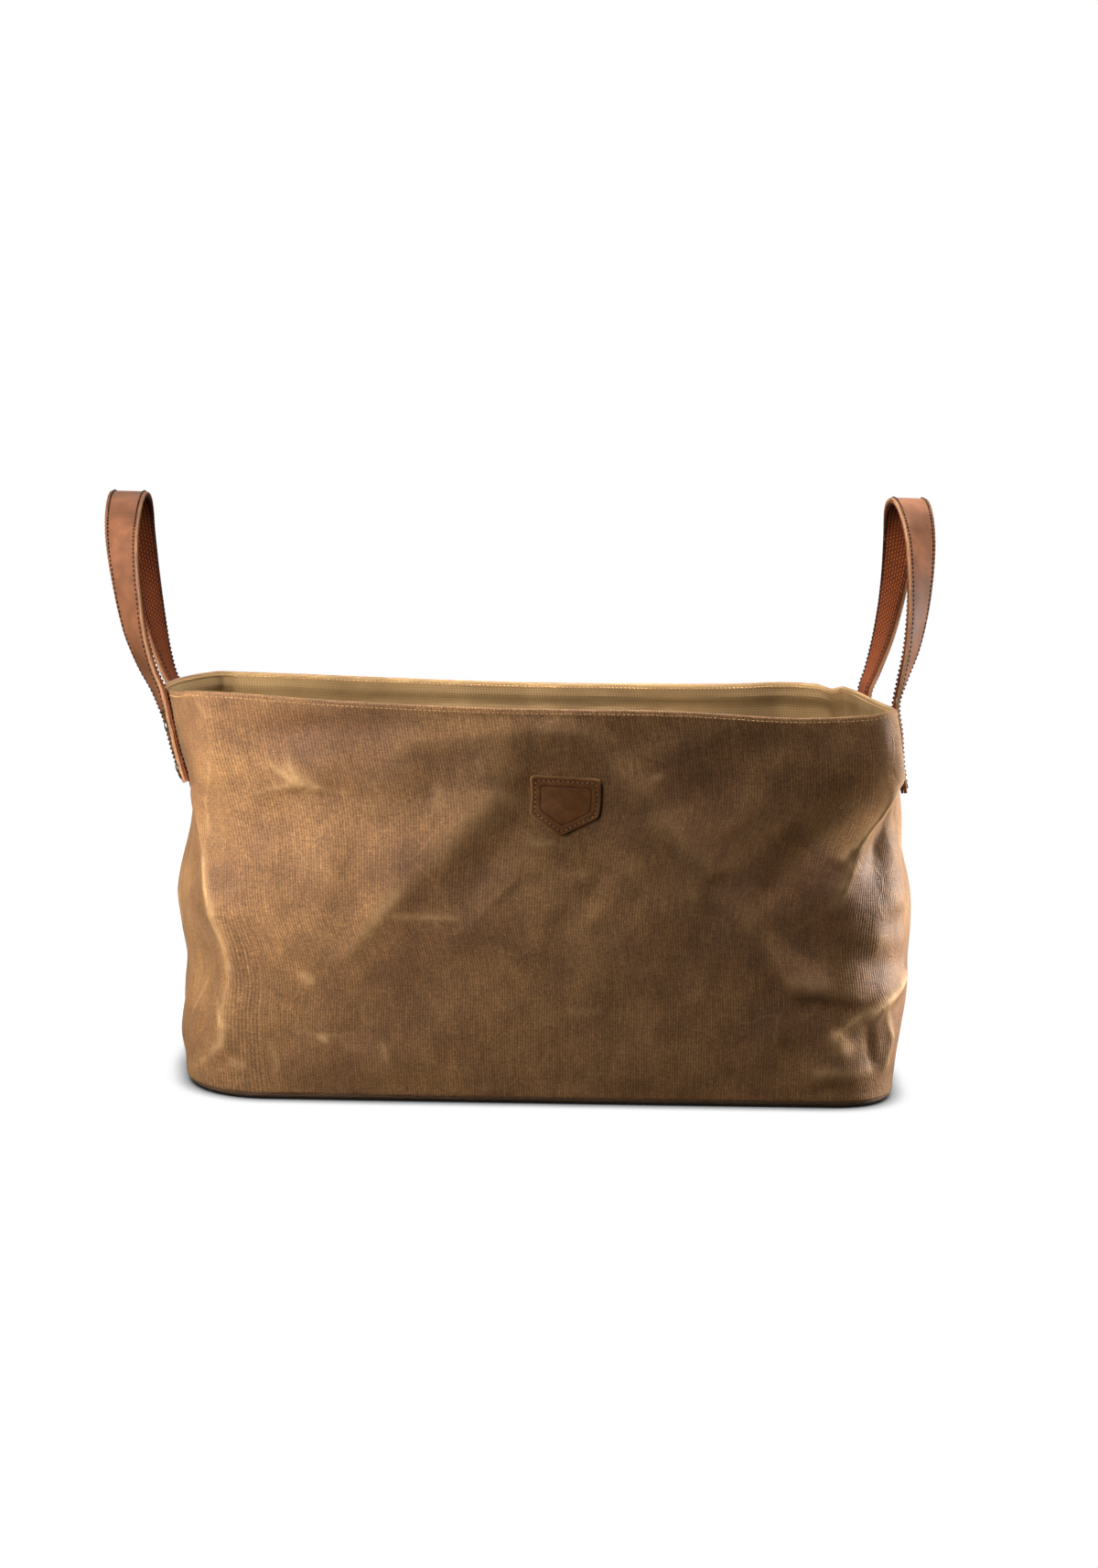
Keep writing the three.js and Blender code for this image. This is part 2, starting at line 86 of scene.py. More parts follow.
# Folds along lines on the band: their widths to the left and right of the line, how sharp they are, then
# the line's girth, height and rise at each point, below 0 for a hollow. Girth runs round the bag to the
# right from the middle of the front.
FOLDS = [
    # the tent over the badge, the hollow that the badge lies in, and the crease below it
    (24, 44, 0.4, ((10, 290, 4), (-14, 257, 6), (-66, 196, 7), (-112, 146, 6.5), (-150, 116, 4),
                   (-184, 98, 2))),
    (14, 16, 0.2, ((-6, 264, -2), (-10, 238, -3.5), (-22, 205, -3.5), (-52, 168, -2))),
    (20, 30, 0.35, ((16, 290, 4), (50, 241, 5), (86, 201, 5), (122, 172, 4.5), (150, 140, 3.5),
                    (186, 102, 2))),
    (42, 42, 0, ((12, 222, -6), (26, 193, -6))),
    (7, 9, 0.5, ((-8, 190, -0.5), (32, 187, -2.2), (70, 190, -0.8))),
    # dents and creases on the left of the front
    (16, 18, 0.2, ((-190, 262, -2), (-152, 272, -4.5), (-104, 290, -3))),
    (24, 24, 0, ((-180, 218, -3), (-84, 222, -3))),
    (7, 6, 0.5, ((-168, 226, -0.8), (-120, 227, -1.6), (-78, 226, -0.6))),
    (10, 9, 0.5, ((-98, 257, 0.8), (-84, 270, 1.8), (-52, 266, 0.8))),
    (5, 5, 0.7, ((-170, 256, 0.3), (-170, 235, 2.4), (-140, 228, 0.5))),
    (5, 5, 0.7, ((-186, 246, 0.3), (-171, 235, 1.8), (-198, 226, 0.3))),
    (30, 30, 0, ((-206, 137, 3), (-170, 174, 3))),
    (6, 11, 0.6, ((-102, 160, 0.6), (-130, 130, 2), (-152, 110, 0.6))),
    (10, 12, 0.4, ((-162, 78, -0.5), (-147, 57, -2.8), (-132, 40, -1.4))),
    # creases on the right of the front
    (34, 34, 0, ((150, 260, -1.5), (196, 214, -2))),
    (6, 7, 0.5, ((30, 132, 0.4), (40, 143, 1.3), (44, 156, 0.4))),
    (9, 12, 0.4, ((112, 178, -0.6), (124, 170, -2.4), (136, 158, -0.6))),
    # crest down the left corner, and the hollow beside it
    (14, 14, 0.6, ((-300, 222, 2), (-264, 178, 5.5), (-252, 150, 7), (-244, 119, 7), (-246, 85, 5.5),
                   (-252, 40, 4.5))),
    (22, 22, 0, ((-286, 104, -5), (-300, 73, -5))),
    # pinch down the right corner, and the hollows beside it
    (12, 21, 0.65, ((288, 250, 3), (259, 241, 7), (235, 227, 10), (225, 213, 10), (221, 199, 9.5),
                    (213, 190, 7))),
    (11, 17, 0.6, ((213, 190, 1), (222, 181, 6), (219, 165, 7.5), (216, 154, 5), (222, 143, 1))),
    (17, 17, 0, ((248, 176, -2.5), (250, 162, -3.5))),
    (13, 14, 0, ((258, 126, 3.5), (290, 122, 3))),
    (21, 21, 0, ((252, 198, -8.5), (268, 214, -8), (300, 218, -6))),
    (24, 24, 0, ((188, 196, -4.5), (204, 232, -5))),
    # buckles round the right corner, from the pinch down to the base
    (17, 15, 0.2, ((236, 150, 2), (252, 149, 4), (292, 153, 4.5))),
    (16, 12, 0.1, ((226, 114, -2), (252, 108, -3), (294, 107, -2))),
    (13, 13, 0.1, ((172, 132, -2), (194, 126, -3.5), (214, 121, -3))),
    (15, 9, 0.35, ((172, 100, 2), (187, 92, 5), (206, 88, 5), (226, 84, 2.5))),
    (8, 8, 0.2, ((194, 77, -2), (208, 78, -4), (226, 73, -4))),
    (11, 7, 0.75, ((304, 94, 4), (278, 86, 6.5), (254, 78, 7.5), (242, 72, 6.5), (234, 68, 5.5),
                   (219, 56, 3.5))),
    (10, 14, 0.5, ((216, 60, 1.5), (221, 44, 5), (214, 30, 4), (200, 20, 1))),
    (6, 6, 0.5, ((264, 70, 1.5), (274, 50, 4), (270, 32, 3))),
    (7, 8, 0.4, ((240, 64, -1), (249, 50, -3.5), (252, 36, -2.5))),
    (7, 7, 0.5, ((188, 31, 1), (222, 25, 3.2), (248, 30, 2))),
    (6, 6, 0.4, ((160, 17, 1), (202, 18, 2), (236, 20, 1.5))),
    # ends and back
    (40, 40, 0, ((-430, 156, 2), (-400, 94, 2))),
    (40, 40, 0, ((400, 146, 5), (430, 104, 5))),
    (45, 45, 0, ((-700, 239, 6), (-640, 125, 6))),
    (45, 45, 0, ((700, 250, 6), (620, 115, 6))),
    (55, 55, 0, ((-822, 198, -6), (-780, 156, -6))),
]
# Where the rim sags, or stands up where the drop is below 0.
RIM_DIPS = table(
    "girth span drop",
    *((-225, 70, -3.6), (-10, 150, 4), (175, 65, 6), (411, 80, 4)),
    *((-411, 70, 2), (822, 180, 5), (566, 26, 3), (626, 30, -2)),
)

# Small creases left by handling, scattered round the band, and a slow unevenness of the cloth.
SMALL_CREASES = 110
rng = np.random.default_rng(5)
for _ in range(SMALL_CREASES):
    girth, height, turn = rng.uniform((-HALF_GIRTH, 24, 0), (HALF_GIRTH, 280, math.pi))
    reach, width, rise = rng.uniform((10, 3.5, 0.4), (34, 8, 1.5)) * (1, 1, rng.choice([-1, 1]))
    bend = rng.uniform(-0.35, 0.35)
    line = []
    for share, height_share in ((-1, 0.2), (0, 1), (1, 0.2)):
        angle = turn + bend * share
        x, y = share * reach * math.cos(angle), share * reach * math.sin(angle)
        line.append((girth + x, height + y, rise * height_share))
    FOLDS.append((width, width, 0.5, line))
WAVES = 36
wave_round = rng.integers(6, 46, WAVES)  # waves in one turn of the band
UNEVEN = {
    "girth_rate": 2 * math.pi * wave_round / (2 * HALF_GIRTH),
    "height_rate": rng.normal(0, 0.05, WAVES),
    "phase": rng.uniform(0, 2 * math.pi, WAVES),
    "rise": 0.3 * (8 / wave_round) ** 0.8,
}


def rows_of(columns):
    """A table's rows, one after the other."""
    for values in zip(*columns.values()):
        yield dict(zip(columns, values))


def girth_between(start, end):
    """How far round the band a girth lies from another, by the shorter way."""
    return (end - start + HALF_GIRTH) % (2 * HALF_GIRTH) - HALF_GIRTH


def level_at(height):
    """Each column of the plan at these heights, on a smooth curve through its rows."""
    rows = LEVELS["height"]
    last = len(rows) - 1
    every = np.arange(last + 1)
    before, after = np.maximum(every - 1, 0), np.minimum(every + 1, last)
    high = np.clip(np.searchsorted(rows, height), 1, last)
    low = high - 1
    span = rows[high] - rows[low]
    t = (height - rows[low]) / span
    ease = t * t * (3 - 2 * t)
    level = {}
    for name, column in LEVELS.items():
        slope = (column[after] - column[before]) / (rows[after] - rows[before])
        bend = t * (1 - t) ** 2 * slope[low] + t * t * (t - 1) * slope[high]
        level[name] = column[low] * (1 - ease) + column[high] * ease + span * bend
    return level


def round_corner(start, leaving, end, arriving, radius, t):
    """Points of a round corner between two panels, in plan, as x + iy."""
    pull = 0.55 * radius  # near enough a circle
    first = start + pull * leaving / np.abs(leaving)
    second = end - pull * arriving / np.abs(arriving)
    back = 1 - t
    return back**3 * start + 3 * back * back * t * first + 3 * back * t * t * second + t**3 * end


def plan_point(girth, height):
    """The band's outline at these girths and heights, as x + iy. Its left half is a mirrored right half."""
    girth = girth_between(0, girth)
    level = level_at(height)
    turned = girth < 0
    right = np.where(turned, -level["left"], level["right"])
    left = np.where(turned, -level["right"], level["left"])
    corner = np.where(turned, level["round_left"], level["round_right"])
    far_corner = np.where(turned, level["round_right"], level["round_left"])
    bow_end = np.where(turned, level["bow_left"], level["bow_right"])
    front, back, bow_front, bow_back = (level[n] for n in ("front", "back", "bow_front", "bow_back"))
    middle = (left + far_corner + right - corner) / 2
    flat_x = right - corner - middle
    flat_y = (back - front) / 2 - corner
    run = np.abs(girth)
    ends = [HALF_WIDTH - CORNER_GIRTH, HALF_WIDTH + CORNER_GIRTH]
    ends += [HALF_GIRTH - ends[1], HALF_GIRTH - ends[0]]
    t = run / ends[0]
    on_front = middle + t * flat_x + 1j * (front - bow_front * (1 - t * t))
    near_corner = round_corner(
        right - corner + 1j * front,
        flat_x + 2j * bow_front,
        right + 1j * (front + corner),
        2 * bow_end + 1j * flat_y,
        corner,
        (run - ends[0]) / (ends[1] - ends[0]),
    )
    t = (run - END_GIRTH) / (END_GIRTH - ends[1])
    on_end = right + bow_end * (1 - t * t) + 1j * ((back + front) / 2 + t * flat_y)
    back_corner = round_corner(
        right + 1j * (back - corner),
        -2 * bow_end + 1j * flat_y,
        right - corner + 1j * back,
        -flat_x + 2j * bow_back,
        corner,
        (run - ends[2]) / (ends[3] - ends[2]),
    )
    t = (HALF_GIRTH - run) / (HALF_GIRTH - ends[3])
    on_back = middle + t * flat_x + 1j * (back + bow_back * (1 - t * t))
    point = np.select(
        [run <= ends[0], run < ends[1], run <= ends[2], run < ends[3]],
        [on_front, near_corner, on_end, back_corner],
        on_back,
    )
    return np.where(turned, -point.conj(), point)


def along_lines(lines, girth, height):
    """Sum of what a table of lines gives at these places: a fold's rise, or how strong a mark is."""
    total = np.zeros(np.shape(girth))
    for width_left, width_right, sharp, line in lines:
        nearest = np.full(total.shape, np.inf)
        weights = lean = rises = 0
        for (girth_0, height_0, rise_0), (girth_1, height_1, rise_1) in zip(line, line[1:]):
            across, up = girth_1 - girth_0, height_1 - height_0
            length = math.hypot(across, up)
            x, y = girth_between(girth_0, girth), height - height_0
            share = np.clip((x * across + y * up) / length**2, 0, 1)
            away = np.hypot(x - share * across, y - share * up) + 1e-6
            weight = (away + 0.5) ** -6  # the nearest part of the line counts most
            weights = weights + weight
            lean = lean + weight * (across * y - up * x) / length / away
            rises = rises + weight * (rise_0 + (rise_1 - rise_0) * share)
            nearest = np.minimum(nearest, away)
        width = width_right + (width_left - width_right) * (1 + lean / weights) / 2
        away = nearest / width
        soft = np.exp(-away * away)
        crisp = np.exp(-1.7 * (np.sqrt(away * away + 0.03) - 0.17))
        total += rises / weights * (soft + (crisp - soft) * sharp)
    return total


def smooth_step(value, low, high):
    t = np.clip((value - low) / (high - low), 0, 1)
    return t * t * (3 - 2 * t)


SEAM_FADE, RIM_FADE = 28, 274  # heights from which folds fade towards the seam, and towards the rim
RIM_HOLD = 0.75  # share of the folds that the turned-in rim holds flat


def cloth_rise(girth, height):
    """All folds, creases and unevenness of the canvas, fading out at the seam and near the rim."""
    rise = along_lines(FOLDS, girth, height)
    for wave in rows_of(UNEVEN):
        turn = wave["girth_rate"] * girth + wave["height_rate"] * height + wave["phase"]
        rise += wave["rise"] * np.sin(turn)
    held = RIM_HOLD * smooth_step(height, RIM_FADE, RIM_HEIGHT)
    return smooth_step(height, SEAM_HEIGHT, SEAM_FADE) * (1 - held) * rise


def wall_point(girth, height):
    """Outer face of the canvas at these girths and heights, in mm."""
    girth, height = np.broadcast_arrays(np.asarray(girth, float), np.asarray(height, float))
    plan = plan_point(girth, height)
    outward = -1j * (plan_point(girth + 1, height) - plan_point(girth - 1, height))
    plan = plan + cloth_rise(girth, height) * outward / np.abs(outward)
    drop = np.zeros(girth.shape)
    for dip in rows_of(RIM_DIPS):
        drop += dip["drop"] * np.exp(-((girth_between(dip["girth"], girth) / dip["span"]) ** 2))
    return np.stack([plan.real, plan.imag, height - drop * (height / RIM_HEIGHT) ** 4], axis=-1)


def unit(vectors):
    return vectors / np.linalg.norm(vectors, axis=-1, keepdims=True)


def wall_normal(girth, height):
    """Way out of the canvas at these girths and heights."""
    girth, height = np.asarray(girth, float), np.clip(height, SEAM_HEIGHT + 1, RIM_HEIGHT - 1)
    round_it = wall_point(girth + 1, height) - wall_point(girth - 1, height)
    up = wall_point(girth, height + 1) - wall_point(girth, height - 1)
    return unit(np.cross(round_it, up))


def linear(colour):
    """An sRGB hex colour as linear RGBA."""
    shares = [int(colour[i : i + 2], 16) / 255 for i in (1, 3, 5)]
    return (*[s / 12.92 if s <= 0.04045 else ((s + 0.055) / 1.055) ** 2.4 for s in shares], 1.0)


def material(name):
    """A material with no nodes yet."""
    made = bpy.data.materials.new(name)
    made.use_nodes = True
    made.node_tree.nodes.clear()
    return made


def add(owner, kind, inputs=None, out=0, **settings):
    """A node with its settings, and its inputs, by name or number, set or linked. Gives one output."""
    tree = owner.node_tree
    made = tree.nodes.new("ShaderNode" + kind)
    for name, value in settings.items():
        setattr(made, name, value)
    for name, value in (inputs or {}).items():
        if isinstance(value, bpy.types.NodeSocket):
            tree.links.new(value, made.inputs[name])
        else:
            made.inputs[name].default_value = value
    return made.outputs[out] if made.outputs else None


def piece(name, points, faces, materials, corners=None, face_materials=None):
    """A smooth object in the scene, from points in mm. corners holds values for the faces' corners."""
    mesh = bpy.data.meshes.new(name)
    mesh.from_pydata((np.asarray(points) * MM).tolist(), [], faces)
    for made in materials:
        mesh.materials.append(made)
    mesh.polygons.foreach_set("use_smooth", np.ones(len(faces), bool))
    if face_materials is not None:
        mesh.polygons.foreach_set("material_index", np.asarray(face_materials, np.int32))
    for key, values in (corners or {}).items():
        values = np.asarray(values, np.float32)
        kind, field = ("FLOAT_VECTOR", "vector") if values.ndim == 2 else ("FLOAT", "value")
        mesh.attributes.new(key, kind, "CORNER").data.foreach_set(field, values.ravel())
    mesh.update()
    made = bpy.data.objects.new(name, mesh)
    bpy.context.scene.collection.objects.link(made)
    return made


def stack(name, rings, materials, looped=False, paint=None, inside=None):
    """An object whose skin runs through closed rings of points, in mm, each anticlockwise from the next.

    A looped stack joins its last ring to its first, and any other is capped. paint gives named values for
    each ring's points, with one more column where a pattern closes round the piece. Faces from ring number
    inside on have the second material."""
    rings = np.asarray(rings, float)
    count, size = rings.shape[:2]
    number = np.arange(count * size).reshape(count, size)
    low = np.arange(count if looped else count - 1)
    high = (low + 1) % count

    def at_corners(grid):
        first, second = grid[low], grid[high]
        sides = (first[:, :-1], first[:, 1:], second[:, 1:], second[:, :-1])
        return np.stack(sides, axis=2)

    faces = at_corners(np.concatenate([number, number[:, :1]], axis=1)).reshape(-1, 4).tolist()
    which = np.repeat(low >= (count if inside is None else inside), size).tolist()
    corners = {}
    for key, grid in (paint or {}).items():
        grid = np.asarray(grid, float)
        if grid.shape[1] == size:
            grid = np.concatenate([grid, grid[:, :1]], axis=1)
        values = at_corners(grid).reshape(-1, *grid.shape[2:])
        if not looped:
            values = np.concatenate([values, grid[0, :size][::-1], grid[-1, :size]])
        corners[key] = values
    if not looped:
        faces += [number[0][::-1].tolist(), number[-1].tolist()]
        which += [False, inside is not None]
    return piece(name, rings.reshape(-1, 3), faces, materials, corners, which)


# Columns are close together where the canvas is creased most, on the front and its corners.
FRONT_END = HALF_WIDTH - CORNER_GIRTH
FRONT_SPAN, CORNER_SPAN, END_SPAN = 2 * FRONT_END, 2 * CORNER_GIRTH, 2 * (HALF_DEPTH - CORNER_GIRTH)
COLUMN_SPANS = (  # length and spacing, from the front's left end round to the right
    *((FRONT_SPAN, 2.2), (CORNER_SPAN, 2.5), (END_SPAN, 4.6), (CORNER_SPAN, 5)),
    *((FRONT_SPAN, 5), (CORNER_SPAN, 5), (END_SPAN, 4.6), (CORNER_SPAN, 2.5)),
)
girths = np.empty(0)
start = -FRONT_END
for length, spacing in COLUMN_SPANS:
    girths = np.append(girths, np.linspace(start, start + length, round(length / spacing), endpoint=False))
    start += length
ROWS = 122
heights = np.linspace(SEAM_HEIGHT, RIM_HEIGHT, ROWS)
outer = wall_point(girths[None, :], heights[:, None])
round_it = np.roll(outer, -1, axis=1) - np.roll(outer, 1, axis=1)
outward = np.cross(round_it, np.gradient(outer, axis=0))
outward[0, :, 2] = outward[-1, :, 2] = 0
outward = unit(outward)

# Rings up the outside, over the rim and down the inside: the row they follow, how far out, how far up.
TOP = ROWS - 1
WELT = ((0, -1.1, -0.2), (0, -0.1, 0), (0, 0.4, 0.8), (1, 0.45, 0), (2, 0.1, 0))
RIM_ROLL = (
    *((TOP, 0, -1.2), (TOP, -0.3, -0.35), (TOP, -0.9, 0.1), (TOP, -1.5, 0.25)),
    *((TOP, -2.1, 0.1), (TOP, -2.7, -0.35), (TOP, -HEM, -1.2)),
)
HEM_EDGE = ((TOP - 2, -HEM, 0), (TOP - 4, -HEM, 0), (TOP - 5, -HEM + 0.1, -1.6), (TOP - 6, -CANVAS, 0))
ring_plan = [*WELT, *((row, 0, 0) for row in range(3, TOP)), *RIM_ROLL, *HEM_EDGE]
ring_plan += [(row, -CANVAS, 0) for row in range(TOP - 9, -1, -3)]
wall_rings = np.array([outer[row] + outward[row] * out + (0, 0, up) for row, out, up in ring_plan])
RIM_RING = len(WELT) + TOP - 3 + 5  # the inside of the wall starts here, past the middle of the roll


def flat_grid(across, along):
    """Places on a flat strip, in mm, for each ring of a piece and each point of a ring."""
    return np.stack(np.broadcast_arrays(across[None, :], along[:, None], 0.0), axis=-1)


# Where each point lies on the flat cloth: along the band, and up it and over the rim.
middle_row = outer[ROWS // 2]
steps = np.linalg.norm(np.roll(middle_row, -1, axis=0) - middle_row, axis=1)
along_band = np.concatenate([[0], np.cumsum(steps)])
up_steps = np.linalg.norm(np.diff(wall_rings, axis=0), axis=2).mean(axis=1)
up_band = np.concatenate([[0], np.cumsum(up_steps)])
on_cloth = flat_grid(along_band, up_band)

# Pale marks where the wax has cracked on sharp creases or been rubbed, laid out as the folds are.
SCUFFS = [
    # the star on the left of the front, and marks near it
    (6, 6, 0, ((-173, 239, 0.5), (-163, 233, 0.6))),
    (2.2, 2.2, 0.2, ((-170, 255, 0.3), (-172, 243, 0.8), (-168, 236, 1))),
    (1.8, 1.8, 0.2, ((-198, 226, 0.2), (-170, 233, 0.8), (-138, 228, 0.5))),
    (2, 2, 0.2, ((-184, 247, 0.3), (-172, 236, 0.8))),
    (5, 5, 0, ((-76, 234, 0.5), (-76, 223, 0.3))),
    (2.6, 2.6, 0.2, ((-46, 257, 0.4), (-44, 248, 0.4))),
    (4, 4, 0.3, ((-104, 158, 0.2), (-112, 148, 0.6), (-130, 128, 0.3))),
    # thin cracks down the left corner
    (2.4, 2.4, 0.2, ((-232, 246, 0.3), (-262, 218, 0.7), (-260, 196, 0.5))),
    (2.4, 2.4, 0.2, ((-302, 191, 0.4), (-264, 176, 0.9), (-254, 152, 1), (-246, 138, 0.7))),
    (2.4, 2.4, 0.2, ((-252, 136, 0.6), (-246, 119, 0.9), (-244, 99, 0.6))),
    (2.4, 2.4, 0.2, ((-258, 72, 0.6), (-248, 53, 1), (-250, 40, 0.9), (-276, 22, 0.5))),
    (2.4, 2.4, 0.2, ((-288, 82, 0.5), (-310, 58, 0.5))),
    # specks and short lines low on the left
    (3.5, 3.5, 0, ((-188, 94, 0.6), (-184, 90, 0.6))),
    (2.4, 2.4, 0, ((-175, 49, 1), (-172, 47, 1))),
    (1.6, 1.6, 0, ((-192, 52, 0.3), (-158, 50, 0.3))),
    (4, 4, 0, ((-242, 27, 0.6), (-234, 25, 0.6))),
    (2.6, 2.6, 0, ((-214, 44, 0.4), (-210, 23, 0.8))),
    (2.4, 2.4, 0, ((-130, 50, 0.3), (-126, 34, 0.7))),
    # the right corner's crests
    (3.5, 3.5, 0.2, ((259, 241, 0.4), (235, 227, 0.8), (225, 213, 1), (221, 199, 1), (213, 190, 0.8))),
    (3, 3, 0.2, ((213, 190, 0.4), (222, 181, 0.8), (219, 164, 0.6), (217, 152, 0.3))),
    (3, 3, 0.2, ((296, 92, 0.5), (254, 78, 1), (234, 68, 1), (219, 54, 0.8))),
    (6, 6, 0.2, ((219, 56, 0.5), (228, 46, 0.6))),
    (3.5, 3.5, 0.2, ((264, 70, 0.5), (274, 50, 0.9), (270, 32, 0.7))),
    (3, 3, 0.2, ((-14, 196, 0.4), (4, 195, 0.6), (14, 193, 0.2))),
    (2.4, 2.4, 0.2, ((-108, 140, 0.5), (-62, 140, 0.5))),
    (3, 3, 0.2, ((16, 72, 0.3), (48, 70, 0.3))),
    (4, 4, 0.2, ((206, 26, 0.5), (250, 29, 0.5))),
]
SMALL_SCUFFS = 60
for _ in range(SMALL_SCUFFS):
    girth, height, turn = rng.uniform((-HALF_GIRTH, 12, 0), (HALF_GIRTH, 285, math.pi))
    reach, width, strength = rng.uniform((3, 2.2, 0.15), (22, 5, 0.5))
    x, y = reach * math.cos(turn), reach * math.sin(turn)
    line = ((girth - x, height - y, 0.1), (girth, height, strength), (girth + x, height + y, 0.1))
    SCUFFS.append((width, width, 0.2, line))
scuffed = along_lines(SCUFFS, *np.broadcast_arrays(girths[None, :], heights[:, None]))
scuff = np.array([scuffed[row] for row, _, _ in ring_plan])

# How much each point stands out of the cloth around it: crests wear pale, hollows stay dark.
LEVELLING_PASSES = 24
rise = cloth_rise(*np.broadcast_arrays(girths[None, :], heights[:, None]))
level = rise
for _ in range(LEVELLING_PASSES):
    level = (np.roll(level, 1, axis=1) + np.roll(level, -1, axis=1) + 2 * level) / 4
    padded = np.pad(level, ((1, 1), (0, 0)), mode="edge")
    level = (padded[:-2] + padded[2:] + 2 * level) / 4
crest = np.array([(rise - level)[row] for row, _, _ in ring_plan])

# Waxed cotton duck: a close plain weave with upright ribs, soaked with wax. It is a dull golden brown,
# clouded where the wax has moved, paler where creases have cracked it, with a faint soft sheen. The large
# clouds are placed so that their darker patches lie on the front's shaded parts: painted shade as well as
# wax.
RIB, PICK = 2.0, 2.2  # mm; the real threads are about 0.7 mm apart, drawn coarser so that they show
WAVE_UNIT = 2 * math.pi / 20  # a wave texture's repeat at scale 1
WRINKLE_CELL = 34  # mm
canvas = material("waxed_cotton_duck")
cloth = add(canvas, "Attribute", out="Vector", attribute_name="on_cloth")
space = add(canvas, "TexCoord", out="Object")
crested = add(canvas, "Attribute", out="Fac", attribute_name="crest")
scuffs = add(canvas, "Attribute", out="Fac", attribute_name="scuff")
ribs, picks = (
    add(
        canvas,
        "TexWave",
        {"Vector": cloth, "Scale": WAVE_UNIT / gap, "Distortion": waver, "Detail": 2, "Detail Scale": 0.9},
        out="Fac",
        bands_direction=way,
    )
    for way, gap, waver in (("X", RIB, 1.2), ("Y", PICK, 2))
)
crossing = add(canvas, "Math", {0: picks, 1: 0.35, 2: 0.65}, operation="MULTIPLY_ADD")
weave = add(canvas, "Math", {0: ribs, 1: crossing}, operation="MULTIPLY")
# yarns 2 mm wide and 20 mm long, slubs of 2.5 mm and flecks of about 1 mm
upright = add(canvas, "Mapping", {"Vector": cloth, "Scale": (0.5, 0.05, 1)})
yarn = add(canvas, "TexNoise", {"Vector": upright, "Scale": 1, "Detail": 3}, out="Fac")
slub = add(canvas, "TexNoise", {"Vector": cloth, "Scale": 0.4, "Detail": 3}, out="Fac")
fleck = add(canvas, "TexNoise", {"Vector": cloth, "Scale": 0.9, "Detail": 2}, out="Fac")
# clouds in the wax, about 77 mm and 21 mm across; the large ones are placed (by W) so that their darker
# patches fall where the front lies in shade, which makes them partly painted shade
wax_and_shade_cloud = add(
    canvas,
    "TexNoise",
    {"Vector": space, "W": 5.5, "Scale": 13, "Detail": 6, "Roughness": 0.6},
    out="Fac",
    noise_dimensions="4D",
)
small_cloud = add(
    canvas,
    "TexNoise",
    {"Vector": space, "Scale": 48, "Detail": 5, "Roughness": 0.62, "Distortion": 0.6},
    out="Fac",
)
# thin wrinkles: the edges of warped cells, showing only in patches
warp = add(canvas, "TexNoise", {"Vector": cloth, "Scale": 0.03, "Detail": 1}, out="Color")
warped = add(canvas, "VectorMath", {0: warp, 1: (40, 40, 0), 2: cloth}, operation="MULTIPLY_ADD")
cell_edge = add(
    canvas,
    "TexVoronoi",
    {"Vector": warped, "Scale": 1 / WRINKLE_CELL},
    out="Distance",
    feature="DISTANCE_TO_EDGE",
)
wrinkle = add(canvas, "MapRange", {0: cell_edge, 1: 0, 2: 0.06, 3: 1, 4: 0})
patch = add(canvas, "TexNoise", {"Vector": cloth, "Scale": 0.024, "Detail": 4}, out="Fac")
patchy = add(canvas, "MapRange", {0: patch, 1: 0.49, 2: 0.66})
wrinkled = add(canvas, "Math", {0: wrinkle, 1: patchy}, operation="MULTIPLY")
# wax clouds and painted shade: the large clouds' darker patches are placed on the front's shaded parts
wax_and_shade_share = add(canvas, "MapRange", {0: wax_and_shade_cloud, 1: 0.36, 2: 0.64})
tone = add(canvas, "Mix", {0: wax_and_shade_share, 6: linear("#745032"), 7: linear("#8f673f")}, out=2, data_type="RGBA")
# each part's share in how dark or pale the cloth is
yarn_tone = add(canvas, "MapRange", {0: yarn, 1: 0.3, 2: 0.7, 3: 0.85, 4: 1.17})
slub_tone = add(canvas, "MapRange", {0: slub, 1: 0.3, 2: 0.7, 3: 0.79, 4: 1.23})
fleck_tone = add(canvas, "MapRange", {0: fleck, 1: 0.32, 2: 0.72, 3: 0.7, 4: 1.36})
cloud_tone = add(canvas, "MapRange", {0: small_cloud, 1: 0.32, 2: 0.68, 3: 0.84, 4: 1.18})
weave_tone = add(canvas, "MapRange", {0: weave, 1: 0, 2: 0.85, 3: 0.72, 4: 1.16})
strength = yarn_tone
for part in (slub_tone, cloud_tone, weave_tone, fleck_tone):
    strength = add(canvas, "Math", {0: strength, 1: part}, operation="MULTIPLY")
toned = add(canvas, "VectorMath", {0: tone, "Scale": strength}, operation="SCALE")
# pale where it is scuffed, crested or wrinkled
cracked = add(canvas, "MapRange", {0: small_cloud, 1: 0.4, 2: 0.62, 3: 0.25, 4: 1})
scuff_share = add(canvas, "Math", {0: scuffs, 1: cracked}, operation="MULTIPLY")
crest_share = add(canvas, "MapRange", {0: crested, 1: 0.1, 2: 2.2, 3: 0, 4: 0.22})
crest_share = add(canvas, "Math", {0: wrinkled, 1: 0.14, 2: crest_share}, operation="MULTIPLY_ADD")
pale_share = add(canvas, "Math", {0: scuff_share, 1: 0.8, 2: crest_share}, operation="MULTIPLY_ADD")
canvas_colour = add(
    canvas, "Mix", {0: pale_share, 6: toned, 7: linear("#c69b69")}, out=2, data_type="RGBA"
)
weave_bump = add(canvas, "Bump", {"Strength": 0.45, "Distance": 0.3 * MM, "Height": weave})
wrinkle_bump = add(
    canvas, "Bump", {"Strength": 0.35, "Distance": 0.7 * MM, "Height": wrinkled, "Normal": weave_bump}
)
